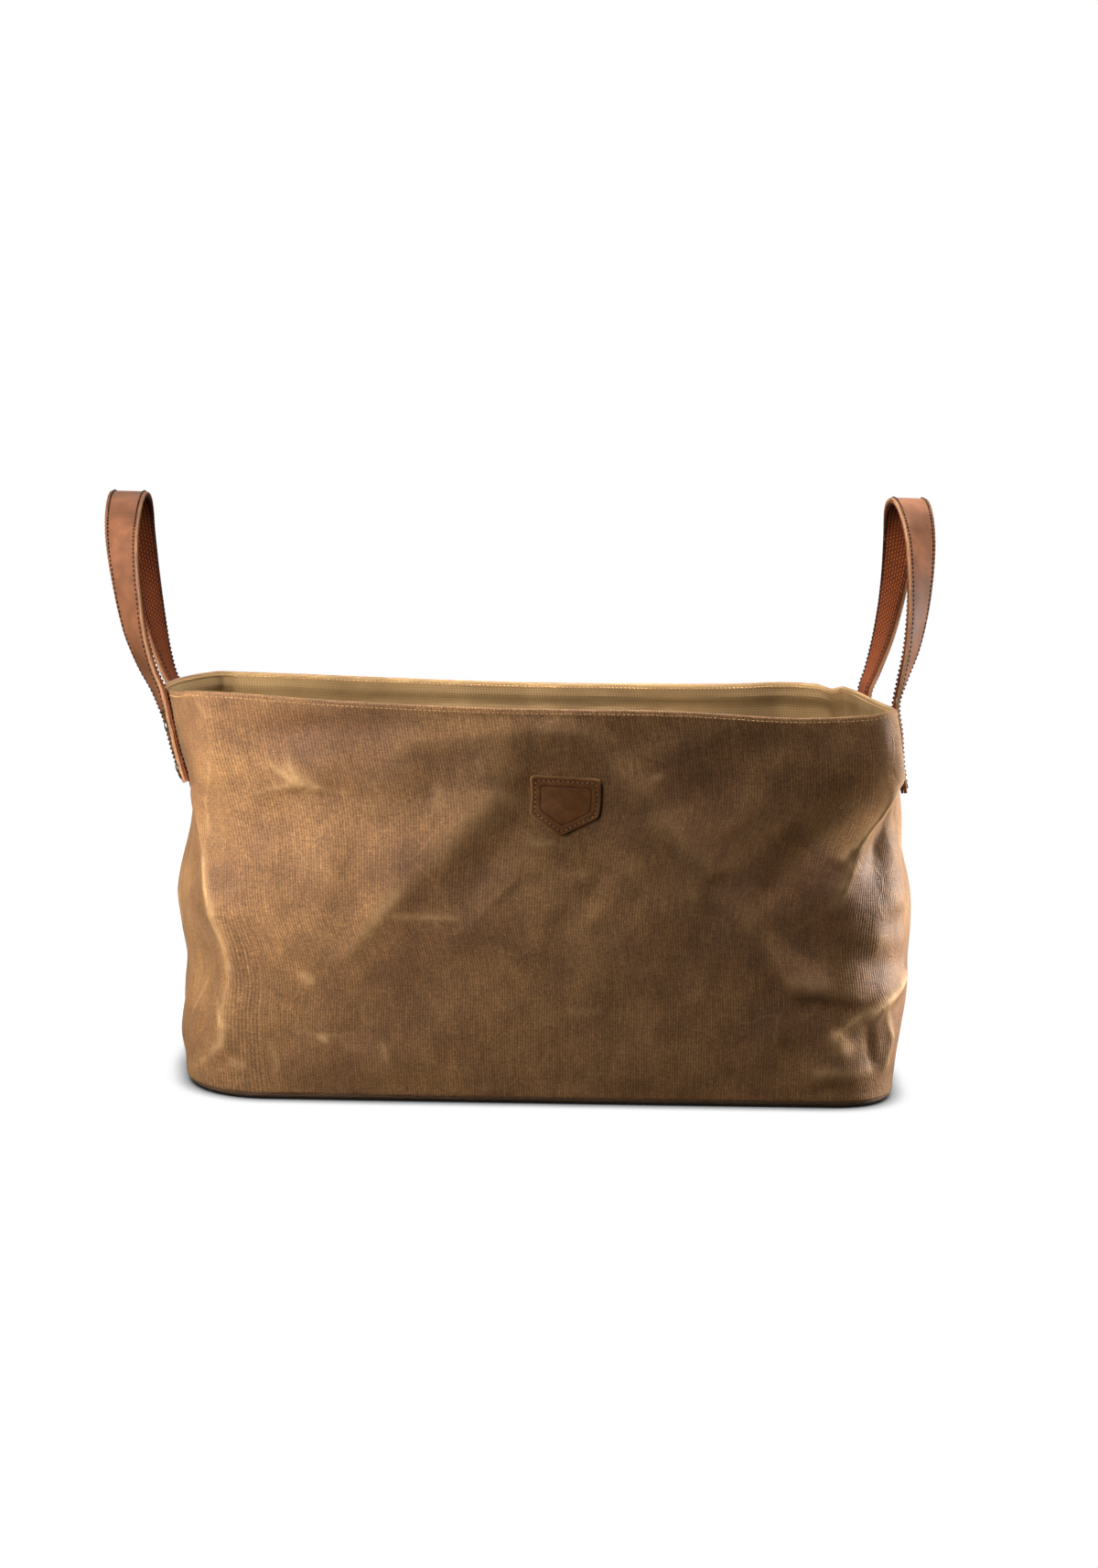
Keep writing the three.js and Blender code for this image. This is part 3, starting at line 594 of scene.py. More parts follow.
crumple = add(
    canvas, "Bump", {"Strength": 0.9, "Distance": 1.6 * MM, "Height": small_cloud, "Normal": wrinkle_bump}
)
canvas_gloss = add(canvas, "MapRange", {0: wax_and_shade_cloud, 1: 0.3, 2: 0.7, 3: 0.6, 4: 0.75})
surface = add(
    canvas,
    "BsdfPrincipled",
    {
        "Base Color": canvas_colour,
        "Roughness": canvas_gloss,
        "Normal": crumple,
        "IOR": 1.45,
        "Specular IOR Level": 0.3,
        "Sheen Weight": 0.1,
        "Sheen Roughness": 0.4,
        "Sheen Tint": linear("#ead9c2"),
    },
)
add(canvas, "OutputMaterial", {"Surface": surface})


def plain_duck(name, blotch_scale, blotch_range, dark, pale, roughness):
    """The same duck with no cracked creases: an even weave, in blotches of about 60 mm of two colours."""
    duck = material(name)
    cloth = add(duck, "Attribute", out="Vector", attribute_name="on_cloth")
    space = add(duck, "TexCoord", out="Object")
    ribs, picks = (
        add(
            duck,
            "TexWave",
            {"Vector": cloth, "Scale": WAVE_UNIT / gap, "Distortion": 0.7, "Detail": 1},
            out="Fac",
            bands_direction=way,
        )
        for way, gap in (("X", RIB), ("Y", PICK))
    )
    weave = add(duck, "Math", {0: ribs, 1: picks}, operation="MULTIPLY")
    blotch = add(duck, "TexNoise", {"Vector": space, "Scale": blotch_scale, "Detail": 5}, out="Fac")
    share = add(duck, "MapRange", {0: blotch, 1: blotch_range[0], 2: blotch_range[1]})
    tone = add(duck, "Mix", {0: share, 6: linear(dark), 7: linear(pale)}, out=2, data_type="RGBA")
    strength = add(duck, "MapRange", {0: weave, 1: 0, 2: 1, 3: 0.85, 4: 1.08})
    toned = add(duck, "VectorMath", {0: tone, "Scale": strength}, operation="SCALE")
    bump = add(duck, "Bump", {"Strength": 0.5, "Distance": 0.25 * MM, "Height": weave})
    inputs = {"Base Color": toned, "Roughness": roughness, "Normal": bump, "IOR": 1.45}
    add(duck, "OutputMaterial", {"Surface": add(duck, "BsdfPrincipled", inputs)})
    return duck


# The unwaxed inner face of the duck: flatter, yellower and paler than the outside.
lining_face = plain_duck("cotton_duck_inner_face", 18, (0.35, 0.65), "#8c6f46", "#ab8a5a", 0.85)

wall = stack(
    "canvas_wall",
    wall_rings,
    [canvas, lining_face],
    looped=True,
    paint={"on_cloth": on_cloth, "crest": crest, "scuff": scuff},
    inside=RIM_RING,
)
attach(wall, "root")
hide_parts("body_wall")

# Rim stitching: one row of tan cotton-wrapped thread, topstitched round the turned-in rim so that it shows
# on both faces of the wall.
STITCH_PITCH = 3.5  # mm
RIM_STITCH_DROP = 3.4  # below the rim


def stitches(name, runs, made_of, length=2.6, radius=0.5):
    """Sewn stitches along runs of points and their ways out, in mm. Each one arches out and dives in."""
    shares = np.array([-1, -0.6, 0, 0.6, 1])
    widths = np.array([0.35, 0.9, 1, 0.9, 0.35]) * radius
    lifts = (0.75 - 1.1 * shares * shares) * radius
    sides = np.linspace(0, 2 * math.pi, 6, endpoint=False)
    found = []
    for points, ways_out in runs:
        lengths = np.concatenate([[0], np.cumsum(np.linalg.norm(np.diff(points, axis=0), axis=1))])
        count = max(1, int(lengths[-1] / STITCH_PITCH))
        centres = (np.arange(count) + 0.5) * lengths[-1] / count

        def along(values, places):
            return np.stack([np.interp(places, lengths, column) for column in values.T], axis=-1)

        first, second = along(points, centres - length / 2), along(points, centres + length / 2)
        forward = unit(second - first)
        beside = unit(np.cross(along(ways_out, centres), forward))
        out = np.cross(forward, beside)
        place = (first + second) / 2
        ring_centre = place[:, None] + forward[:, None] * shares[:, None] * length / 2
        ring_centre = ring_centre + out[:, None] * lifts[:, None]
        circle = np.cos(sides)[:, None] * out[:, None] + np.sin(sides)[:, None] * beside[:, None]
        found.append(ring_centre[:, :, None] + circle[:, None] * widths[:, None, None])
    points = np.concatenate(found)
    count, rings, size = points.shape[:3]
    number = np.arange(rings * size).reshape(rings, size)
    low, high = number[:-1], number[1:]
    quads = np.stack([low, high, np.roll(high, -1, axis=1), np.roll(low, -1, axis=1)], axis=-1)
    one = quads[:, :, ::-1].reshape(-1, 4).tolist() + [number[0].tolist()[::-1], number[-1].tolist()]
    faces = [[corner + i * rings * size for corner in face] for i in range(count) for face in one]
    return piece(name, points.reshape(-1, 3), faces, [made_of])


def sewing_thread(name, dark, pale, roughness, gloss):
    """Twisted thread, a little darker in its twist, which is about 1 mm long."""
    made = material(name)
    space = add(made, "TexCoord", out="Object")
    twist = add(made, "TexNoise", {"Vector": space, "Scale": 0.9 / MM, "Detail": 1}, out="Fac")
    tone = add(made, "Mix", {0: twist, 6: linear(dark), 7: linear(pale)}, out=2, data_type="RGBA")
    inputs = {"Base Color": tone, "Roughness": roughness, "Specular IOR Level": gloss}
    add(made, "OutputMaterial", {"Surface": add(made, "BsdfPrincipled", inputs)})
    return made


# Cotton-wrapped sewing thread: tan and matt.
tan_thread = sewing_thread("tan_sewing_thread", "#8f6538", "#c79a62", 0.75, 0.5)

closed = np.append(girths, girths[0] + 2 * HALF_GIRTH)
row = wall_point(closed, RIM_HEIGHT - RIM_STITCH_DROP)
row_out = wall_normal(closed, RIM_HEIGHT - RIM_STITCH_DROP)
inner_row = (row - row_out * HEM)[::-1]
rim_stitches = stitches("rim_stitches", [(row, row_out), (inner_row, -row_out[::-1])], tan_thread)
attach(rim_stitches, "root")

# Base: a panel of the same canvas, sewn to the wall's lower edge with its own edge turned up into a lip.
# It lies flat on the floor, and its inner face sags a little between the seams.
# The lip's outline: height, and inset from the seam.
LIP = ((0, 7), (0.5, 4.6), (1.2, 2.9), (2.1, 1.8), (3.4, 1.2), (4.6, 1), (4.75, 1.6), (4.75, 3), (4.2, 3.6))
INNER_FLOOR, RIPPLE = 2.3, 0.9  # height of the inner face, and how far it ripples
LIP_INSET, INNER_INSET = 7, 4.3  # of the underside and of the inner face, from the seam
seam, seam_out = outer[0], outward[0]


def base_ring(height, inset, share=1.0):
    """A ring of the base at a height, inset from the seam and shrunk to a share of its size."""
    ring = (seam - seam_out * inset) * (share, share, 0)
    ring[:, 2] = height
    return ring


rings = [base_ring(0, LIP_INSET, share) for share in (0.05, 0.35, 0.65, 0.95)]
rings += [base_ring(height, inset) for height, inset in LIP]
for share in (1, 0.98, 0.94, 0.88, 0.8, 0.7, 0.6, 0.5, 0.4, 0.3, 0.2, 0.1, 0.02):
    ring = base_ring(INNER_FLOOR, INNER_INSET, share)
    x, y, _ = ring.T
    ripple = np.sin(x / 31 + 1) * np.sin(y / 27) + np.sin(x / 57 + y / 44)
    ring[:, 2] += RIPPLE * (1 - share**6) * (0.6 + 0.4 * ripple)
    rings.append(ring)
base_cloth = np.array(rings) * (1, 1, 0)

# The same waxed duck, made much darker than the wall: painted shade for the base, which lies in shadow
# under the wall's edge.
base_duck_painted_shade = plain_duck("waxed_cotton_duck_base", 16, (0, 1), "#3e2b1c", "#61472e", 0.75)

base = stack("canvas_base", rings, [base_duck_painted_shade], paint={"on_cloth": base_cloth})
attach(base, "root")
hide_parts("base_panel")

# Carrying loops: on each end, a strip of oiled leather backed with cotton webbing and sewn to it along both
# edges. It runs down the outside of the wall in two legs, which are riveted through the canvas.
STRAP_WIDTH, LEATHER, WEBBING, WEBBING_INSET = 28, 2.6, 1.8, 0.8
LAYER_GAP = 0.3
LEATHER_IN = WEBBING + LAYER_GAP
LEATHER_OUT = LEATHER_IN + LEATHER
TAB_LENGTH, TAB_CLEARANCE = 66, 0.8
TAB_STEP = TAB_LENGTH / 3
# Places along a leg above the rim, from its foot up to the crown: shares of the loop's rise, and of the
# foot's distance from the end's middle.
LOOP_RISE = (0, 0.13, 0.29, 0.47, 0.65, 0.81, 0.93, 0.985, 1)
LOOP_SPREAD = (1, 1.01, 1.01, 0.98, 0.92, 0.76, 0.5, 0.24, 0)
# For each leg: its girth from the middle of the end, how far it leans over as a share of the way from foot
# to crown, and the turn of the strap from flat against the end (90) to straight across (0).
LEFT_FRONT = {
    "girth": -73,
    "lean": (0.06, 0.29, 0.5, 0.65, 0.77, 0.87, 0.94, 0.98, 1),
    "turn": (68, 61, 52, 44, 38, 31, 19, 8, 0),
}
LEFT_BACK = {
    "girth": 54,
    "lean": (0.19, 0.4, 0.58, 0.74, 0.88, 0.97, 1, 1, 1),
    "turn": (81, 73, 63, 53, 43, 33, 19, 8, 0),
}
RIGHT_FRONT = {
    "girth": -53,
    "lean": (0.03, 0.26, 0.62, 0.85, 0.95, 1, 1, 1, 1),
    "turn": (81, 74, 62, 51, 41, 32, 19, 8, 0),
}
RIGHT_BACK = {
    "girth": 64,
    "lean": (0, 0.36, 0.74, 1.02, 1.18, 1.2, 1.1, 1.03, 1),
    "turn": (84, 78, 68, 59, 49, 37, 21, 8, 0),
}
HANDLES = (
    {"name": "left", "side": -1, "rise": 142, "crown": -328, "front": LEFT_FRONT, "back": LEFT_BACK},
    {"name": "right", "side": 1, "rise": 153, "crown": 274.5, "front": RIGHT_FRONT, "back": RIGHT_BACK},
)


def tab_frame(handle, leg, drop):
    """Place and way across of a leg, front or back, on its end at a drop below the rim."""
    from_middle = handle[leg]["girth"]
    girth = handle["side"] * (END_GIRTH + from_middle)
    normal = wall_normal(girth, RIM_HEIGHT - drop)
    across = np.array([-normal[1], normal[0], 0]) * handle["side"] * np.sign(from_middle)
    return wall_point(girth, RIM_HEIGHT - drop) + normal * TAB_CLEARANCE, unit(across)


def leg_frames(handle, leg):
    """Places and ways across along one leg, from the tab's end up to the crown."""
    frames = [tab_frame(handle, leg, drop) for drop in (TAB_LENGTH, 2 * TAB_STEP, TAB_STEP)]
    x, y, z = tab_frame(handle, leg, 0)[0]
    way = np.sign(handle[leg]["girth"])
    turns = np.radians(handle[leg]["turn"])
    for rise, spread, lean, turn in zip(LOOP_RISE, LOOP_SPREAD, handle[leg]["lean"], turns):
        place = (x + (handle["crown"] - x) * lean, y * spread, z + handle["rise"] * rise)
        across = (-handle["side"] * math.cos(turn), way * math.sin(turn), 0)
        frames.append((np.array(place), np.array(across)))
    return frames


def curve_through(points, shares):
    """Places on a smooth curve through points, each as far along it as its share of the spans."""
    points = np.asarray(points, float)
    points = np.concatenate([[2 * points[0] - points[1]], points, [2 * points[-1] - points[-2]]])
    spans = len(points) - 3
    span = np.minimum((np.clip(shares, 0, 1) * spans).astype(int), spans - 1)
    t = (np.clip(shares, 0, 1) * spans - span)[:, None]
    p0, p1, p2, p3 = (points[span + i] for i in range(4))
    d0, d1, d2 = (
        np.maximum(np.sqrt(np.linalg.norm(b - a, axis=1)), 1e-4)[:, None]
        for a, b in ((p0, p1), (p1, p2), (p2, p3))
    )
    leaving = d1 * ((p1 - p0) / d0 - (p2 - p0) / (d0 + d1) + (p2 - p1) / d1)
    arriving = d1 * ((p2 - p1) / d1 - (p3 - p1) / (d1 + d2) + (p3 - p2) / d2)
    bend = -3 * p1 + 3 * p2 - 2 * leaving - arriving
    return p1 + leaving * t + bend * t**2 + (2 * p1 - 2 * p2 + leaving + arriving) * t**3


LINE_SAMPLES = 3001  # places that measure a loop's length


class Loop:
    """One carrying loop's line along the webbing's inner face, and the strap's ways out and across."""

    def __init__(self, handle):
        front, back = leg_frames(handle, "front"), leg_frames(handle, "back")[::-1]
        crown = ((front[-1][0] + back[0][0]) / 2, front[-1][1])
        frames = [*front[:-1], crown, *back[1:]]
        self.side, self.spans = handle["side"], len(frames) - 1
        self.line = [place for place, _ in frames]
        self.ways = [across for _, across in frames]

    def at(self, shares):
        """Places, ways out and ways across at shares of the loop's spans."""
        shares = np.atleast_1d(shares)
        low, high = np.clip(shares - 1e-4, 0, 1), np.clip(shares + 1e-4, 0, 1)
        along = unit(curve_through(self.line, high) - curve_through(self.line, low))
        out = -self.side * unit(np.cross(curve_through(self.ways, shares), along))
        return curve_through(self.line, shares), out, unit(np.cross(along, out))

    def even(self, spacing):
        """Shares at even distances along the strap, and those distances in mm."""
        shares = np.linspace(0, 1, LINE_SAMPLES)
        steps = np.linalg.norm(np.diff(curve_through(self.line, shares), axis=0), axis=1)
        run = np.concatenate([[0], np.cumsum(steps)])
        distances = np.linspace(0, run[-1], round(run[-1] / spacing) + 1)
        return np.interp(distances, run, shares), distances


LOOPS = [Loop(handle) for handle in HANDLES]

# The leather's cut across the strap, from its left edge over the outer face: distance from the middle, and
# from the webbing's inner face. A shallow groove lies under each row of stitches.
HALF_STRAP = STRAP_WIDTH / 2
STITCH_INSET = 2.7
groove = HALF_STRAP - STITCH_INSET
half_face = (
    *((HALF_STRAP, LEATHER_IN + 0.6), (HALF_STRAP, LEATHER_OUT - 0.7)),
    *((HALF_STRAP - 0.25, LEATHER_OUT - 0.25), (HALF_STRAP - 0.8, LEATHER_OUT)),
    *((groove + 0.8, LEATHER_OUT), (groove + 0.4, LEATHER_OUT - 0.1)),
    *((groove, LEATHER_OUT - 0.3), (groove - 0.4, LEATHER_OUT - 0.1), (groove - 0.9, LEATHER_OUT)),
    *((7, LEATHER_OUT + 0.1), (3, LEATHER_OUT + 0.14)),
)
back_face = tuple((x, LEATHER_IN) for x in (HALF_STRAP - 0.4, 7, 0, -7, 0.4 - HALF_STRAP))
leather_cut = np.array(
    [(-x, out) for x, out in half_face] + [(x, out) for x, out in half_face[::-1]] + list(back_face)
)
raw_edge = (np.abs(leather_cut[:, 0]) > HALF_STRAP - 0.5).astype(float)

# Oiled pull-up leather: warm reddish brown, waxed, darker and lighter where it has been bent and rubbed,
# with fine pebbled grain and pale raw edges. Its clouds are about 33 mm across, its rubs 8 mm and its
# pebbles 1 mm.
leather = material("oiled_pull_up_leather")
place = add(leather, "Attribute", out="Vector", attribute_name="on_strap")
raw = add(leather, "Attribute", out="Fac", attribute_name="raw_edge")
space = add(leather, "TexCoord", out="Object")
pull = add(leather, "TexNoise", {"Vector": space, "Scale": 30, "Detail": 6}, out="Fac")
rub = add(leather, "TexNoise", {"Vector": space, "Scale": 130, "Detail": 5}, out="Fac")
grain = add(
    leather, "TexVoronoi", {"Vector": place, "Scale": 0.9, "Randomness": 1}, out="Distance", feature="F1"
)
pull_share = add(leather, "MapRange", {0: pull, 1: 0.34, 2: 0.66})
tone = add(
    leather, "Mix", {0: pull_share, 6: linear("#5c3924"), 7: linear("#87573a")}, out=2, data_type="RGBA"
)
rub_tone = add(leather, "MapRange", {0: rub, 1: 0.3, 2: 0.7, 3: 0.82, 4: 1.15})
toned = add(leather, "VectorMath", {0: tone, "Scale": rub_tone}, operation="SCALE")
edge_share = add(leather, "Math", {0: raw, 1: 0.4}, operation="MULTIPLY")
leather_colour = add(
    leather, "Mix", {0: edge_share, 6: toned, 7: linear("#b58a63")}, out=2, data_type="RGBA"
)
grain_bump = add(leather, "Bump", {"Strength": 0.35, "Distance": 0.15 * MM, "Height": grain})
leather_bump = add(
    leather, "Bump", {"Strength": 0.4, "Distance": 0.4 * MM, "Height": rub, "Normal": grain_bump}
)
leather_gloss = add(leather, "MapRange", {0: rub, 1: 0.3, 2: 0.7, 3: 0.52, 4: 0.7})
surface = add(
    leather,
    "BsdfPrincipled",
    {
        "Base Color": leather_colour,
        "Roughness": leather_gloss,
        "Normal": leather_bump,
        "IOR": 1.5,
        "Specular IOR Level": 0.2,
    },
)
add(leather, "OutputMaterial", {"Surface": surface})

# Cotton webbing: rust-brown, coarse and matt, its yarns standing up in offset rows. The gaps between them
# are painted near-black by how low each point lies: painted shade.
webbing = material("rust_cotton_webbing")
lift = add(webbing, "Attribute", out="Fac", attribute_name="yarn_lift")
place = add(webbing, "Attribute", out="Vector", attribute_name="on_strap")
fibre = add(webbing, "TexNoise", {"Vector": place, "Scale": 1.6, "Detail": 4}, out="Fac")
# painted shade: the lower a point lies between the yarns, the nearer its colour is to near-black
gap_shade_share = add(webbing, "MapRange", {0: lift, 1: 0.35, 2: 0.97})
tone = add(webbing, "Mix", {0: gap_shade_share, 6: linear("#240d04"), 7: linear("#904a27")}, out=2, data_type="RGBA")
fibre_tone = add(webbing, "MapRange", {0: fibre, 1: 0.3, 2: 0.7, 3: 0.8, 4: 1.2})
toned = add(webbing, "VectorMath", {0: tone, "Scale": fibre_tone}, operation="SCALE")
bump = add(webbing, "Bump", {"Strength": 0.4, "Distance": 0.2 * MM, "Height": fibre})
surface = add(
    webbing,
    "BsdfPrincipled",
    {"Base Color": toned, "Roughness": 0.9, "Normal": bump, "IOR": 1.45, "Specular IOR Level": 0.15},
)
add(webbing, "OutputMaterial", {"Surface": surface})

# Waxed thread for the loops: dark brown, darker than the leather, half sunk in its groove.
brown_thread = sewing_thread("dark_brown_waxed_thread", "#20120a", "#3d2414", 0.6, 0.15)

# The webbing's yarns, in mm. The real ones are about 1.6 mm wide, drawn coarser so that they show.
YARN_WIDTH, YARN_LENGTH, YARN_DEPTH = 2.6, 3.8, 0.5
HALF_WEBBING = HALF_STRAP - WEBBING_INSET
WEBBING_COLUMNS = 50
weave_x = np.linspace(HALF_WEBBING - 0.25, 0.25 - HALF_WEBBING, WEBBING_COLUMNS)
# its edges and its flat face against the leather
flat_half = np.array([HALF_WEBBING, HALF_WEBBING, HALF_WEBBING - 0.5])
flat_x = np.concatenate([-flat_half, [0], flat_half[::-1]])
flat_out = np.array([0.45, 1.35, WEBBING, WEBBING, WEBBING, 1.35, 0.45])
webbing_x = np.concatenate([flat_x, weave_x])
FLAT_LIFT = 0.7  # how far its edges and flat face count as raised yarn
LEATHER_STEP, WEBBING_STEP, STITCH_STEP = 1.0, 0.6, 1.5  # spacing along the loop, mm
SCALLOP = 0.25  # how far the stitches draw the leather's edges in and out
LOOP_THREAD = 0.75  # radius
STITCH_SINK = 0.25  # how deep the outer stitches lie in their groove
STITCH_FREE = 3  # steps with no stitches at each end of the loop
TRANSVERSE_DROPS = (15, 62.5)  # rows of stitches across each leg, below the rim
TRANSVERSE_POINTS = 12


def leg_share(loop, leg, drop):
    """Share of the loop's spans at a drop below the rim on one leg."""
    from_end = (TAB_LENGTH - drop) / TAB_STEP / loop.spans
    return from_end if leg == "front" else 1 - from_end


def strap_rings(frames, from_middle, reach):
    """Rings of a strip along a loop, from distances across it and out of it."""
    places, outs, acrosses = frames
    return places[:, None] + acrosses[:, None] * from_middle[..., None] + outs[:, None] * reach[..., None]


for handle, loop in zip(HANDLES, LOOPS):
    shares, distances = loop.even(LEATHER_STEP)
    scallop = SCALLOP * np.cos(2 * math.pi * distances / STITCH_PITCH)
    widen = 1 + scallop[:, None] * raw_edge / HALF_STRAP
    rings = strap_rings(loop.at(shares), leather_cut[:, 0] * widen, leather_cut[:, 1])
    on_strap = flat_grid(leather_cut[:, 0], distances)
    paint = {"on_strap": on_strap, "raw_edge": np.broadcast_to(raw_edge, rings.shape[:2])}
    strip = stack(f"leather_loop_{handle['name']}", rings, [leather], paint=paint)
    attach(strip, "root")
    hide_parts(f"handle_{handle['name']}_leather")

    shares, distances = loop.even(WEBBING_STEP)
    yarn = weave_x / YARN_WIDTH
    in_yarn = 2 * (yarn - np.floor(yarn)) - 1
    step = distances[:, None] / YARN_LENGTH + 0.5 * (np.floor(yarn) % 2)[None, :]
    swell = np.sqrt(np.abs(np.sin(math.pi * step)))
    lift = np.sqrt(np.clip(1 - in_yarn**2, 0, 1))[None, :] * (0.3 + 0.7 * swell)
    flat_shape = (len(shares), len(flat_x))
    reach = np.concatenate([np.broadcast_to(flat_out, flat_shape), YARN_DEPTH * (1 - lift)], axis=1)
    rings = strap_rings(loop.at(shares), webbing_x, reach)
    # yarn_lift also sets the webbing's painted shade: low points are painted near-black
    yarn_lift = np.concatenate([np.full(flat_shape, FLAT_LIFT), lift], axis=1)
    paint = {"on_strap": flat_grid(webbing_x, distances), "yarn_lift": yarn_lift}
    backing = stack(f"webbing_loop_{handle['name']}", rings, [webbing], paint=paint)
    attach(backing, "root")
    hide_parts(f"handle_{handle['name']}_webbing")

    shares, _ = loop.even(STITCH_STEP)
    places, outs, acrosses = loop.at(shares[STITCH_FREE:-STITCH_FREE])
    runs = []
    for edge in (-groove, groove):
        runs.append((places + acrosses * edge + outs * (LEATHER_OUT - STITCH_SINK), outs))
        runs.append(((places + acrosses * edge)[::-1], -outs[::-1]))
    for leg in ("front", "back"):
        for drop in TRANSVERSE_DROPS:
            place, out, across = loop.at(leg_share(loop, leg, drop))
            reach = np.linspace(-groove, groove, TRANSVERSE_POINTS)[:, None]
            row = place + across * reach + out * (LEATHER_OUT + 0.05)
            runs.append((row, np.repeat(out, TRANSVERSE_POINTS, axis=0)))
    sewn = stitches(f"loop_stitches_{handle['name']}", runs, brown_thread, radius=LOOP_THREAD)
    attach(sewn, "root")

# Rivets: two on each leg, set through leather, webbing and canvas. Each is a domed nickel-plated cap with a
# rolled rim on a post, closed inside the bag by a washer.
CAP_RADIUS, CAP_HEIGHT, POST_RADIUS, WASHER_RADIUS, WASHER_HEIGHT = 4.5, 1.7, 1.6, 4, 1.1
RIVET_DROPS = {"upper": 26, "lower": 57}
RIVET_SIDES = 32
CAP_GAP, WASHER_GAP = 0.1, 0.75  # under the cap, and between washer and canvas
cap_foot = LEATHER_OUT + CAP_GAP
washer_face = -(TAB_CLEARANCE + CANVAS) - WASHER_GAP
# radius and reach from the wall, from the washer inside out to the middle of the cap
rivet_profile = [
    *((0.3, washer_face - WASHER_HEIGHT), (1.6, washer_face - WASHER_HEIGHT), (3.2, washer_face - 0.9)),
    *((WASHER_RADIUS - 0.15, washer_face - 0.55), (WASHER_RADIUS, washer_face - 0.2), (3.8, washer_face)),
    *((POST_RADIUS, washer_face), (POST_RADIUS, cap_foot), (CAP_RADIUS - 0.4, cap_foot)),
    *((CAP_RADIUS - 0.05, cap_foot + 0.2), (CAP_RADIUS, cap_foot + 0.5)),
    *((CAP_RADIUS - 0.2, cap_foot + 0.8), (CAP_RADIUS - 0.6, cap_foot + 1.0)),
    *((CAP_RADIUS - 1.0, cap_foot + 1.05), (2.9, cap_foot + 1.3)),
    *((2.2, cap_foot + 1.55), (1.2, cap_foot + CAP_HEIGHT), (0.3, cap_foot + CAP_HEIGHT + 0.05)),
]

# Nickel-plated steel: bright and a little warm, dulled by handling, tarnished in spots of about 2 mm.
nickel = material("worn_nickel_plate")
space = add(nickel, "TexCoord", out="Object")
tarnish = add(nickel, "TexNoise", {"Vector": space, "Scale": 420, "Detail": 4}, out="Fac")
tone = add(
    nickel, "Mix", {0: tarnish, 6: linear("#9c9180"), 7: linear("#dcd5c8")}, out=2, data_type="RGBA"
)
dull = add(nickel, "MapRange", {0: tarnish, 1: 0.3, 2: 0.7, 3: 0.4, 4: 0.22})
surface = add(nickel, "BsdfPrincipled", {"Base Color": tone, "Roughness": dull, "Metallic": 1.0})
add(nickel, "OutputMaterial", {"Surface": surface})

turns = np.linspace(0, 2 * math.pi, RIVET_SIDES, endpoint=False)
for handle, loop in zip(HANDLES, LOOPS):
    for leg in ("front", "back"):
        for level_name, drop in RIVET_DROPS.items():
            (place,), (out,), (across,) = loop.at(leg_share(loop, leg, drop))
            along = np.cross(out, across)
            circle = np.cos(turns)[:, None] * across + np.sin(turns)[:, None] * along
            rings = [place + circle * radius + out * reach for radius, reach in rivet_profile]
            node = f"rivet_{handle['name']}_{leg}_{level_name}"
            rivet = stack(f"cap_{node}", rings, [nickel])
            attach(rivet, "root")
            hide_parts(node)

# Badge: a shield cut from the same leather, sewn to the front round its edge, with a pressed line inside
# the stitches and a bare face.
BADGE_GIRTH, BADGE_HEIGHT = 10.5, 220
BADGE_OUTLINE = ((-24.7, 26.6), (-26.4, -3.4), (-2.6, -20), (25, -5.4), (25.8, 24.6))
BADGE_LIFT, BADGE_THICK = 0.9, 2.4
BADGE_STITCH_INSET, BADGE_STITCH_RISE = 3.1, 2.1
BADGE_FLAT, BADGE_CROWN = 2.45, 0.15  # height of its face, and how much more at its middle
CARVED = 2.2  # what is lower than this is a cut edge or pressed in
PAST_LINE = 9.0  # inset given to all that lies within the pressed line
SIDE_POINTS, CORNER_PASSES = 34, 8
# Rings of the badge from its back edge over its face: inset from the outline, and height above its back.
BADGE_FACE = (
    *((0.8, -0.75), (0.2, -0.6), (0, 0.2), (0, 1.5), (0.15, 2), (0.5, 2.3), (1.1, BADGE_THICK)),
    *((2.3, BADGE_THICK), (2.7, 2.25), (3.1, 2.05), (3.5, 2.25), (3.9, BADGE_THICK), (6.4, BADGE_FLAT)),
    *((6.8, 2.35), (7.1, 2.05), (7.5, 2.05), (7.8, 2.35), (8.2, BADGE_FLAT)),
)


def badge_ring(inset):
    """The badge's outline moved in all round, with its corners rounded off."""
    corners = np.array(BADGE_OUTLINE, float) @ (1, 1j)
    ahead = np.roll(corners, -1) - corners
    ahead /= np.abs(ahead)
    inward = 1j * ahead
    before = np.roll(inward, 1)
    moved = corners + inset * (inward + before) / (1 + (inward * before.conj()).real)
    t = np.arange(SIDE_POINTS) / SIDE_POINTS
    ring = (moved[:, None] + (np.roll(moved, -1) - moved)[:, None] * t).ravel()
    for _ in range(CORNER_PASSES):
        ring = (np.roll(ring, 1) + ring + np.roll(ring, -1)) / 3
    return ring


near = wall_point(BADGE_GIRTH + np.array([-1, 1]), BADGE_HEIGHT)
girth_per_mm = 2 / np.linalg.norm(near[1] - near[0])


def on_badge(flat, out):
    """Places on the badge and their ways out, from its flat plan as x + iy and a height above its back."""
    girth, height = BADGE_GIRTH + flat.real * girth_per_mm, BADGE_HEIGHT + flat.imag
    normal = wall_normal(girth, height)
    return wall_point(girth, height) + normal * (BADGE_LIFT + out), normal


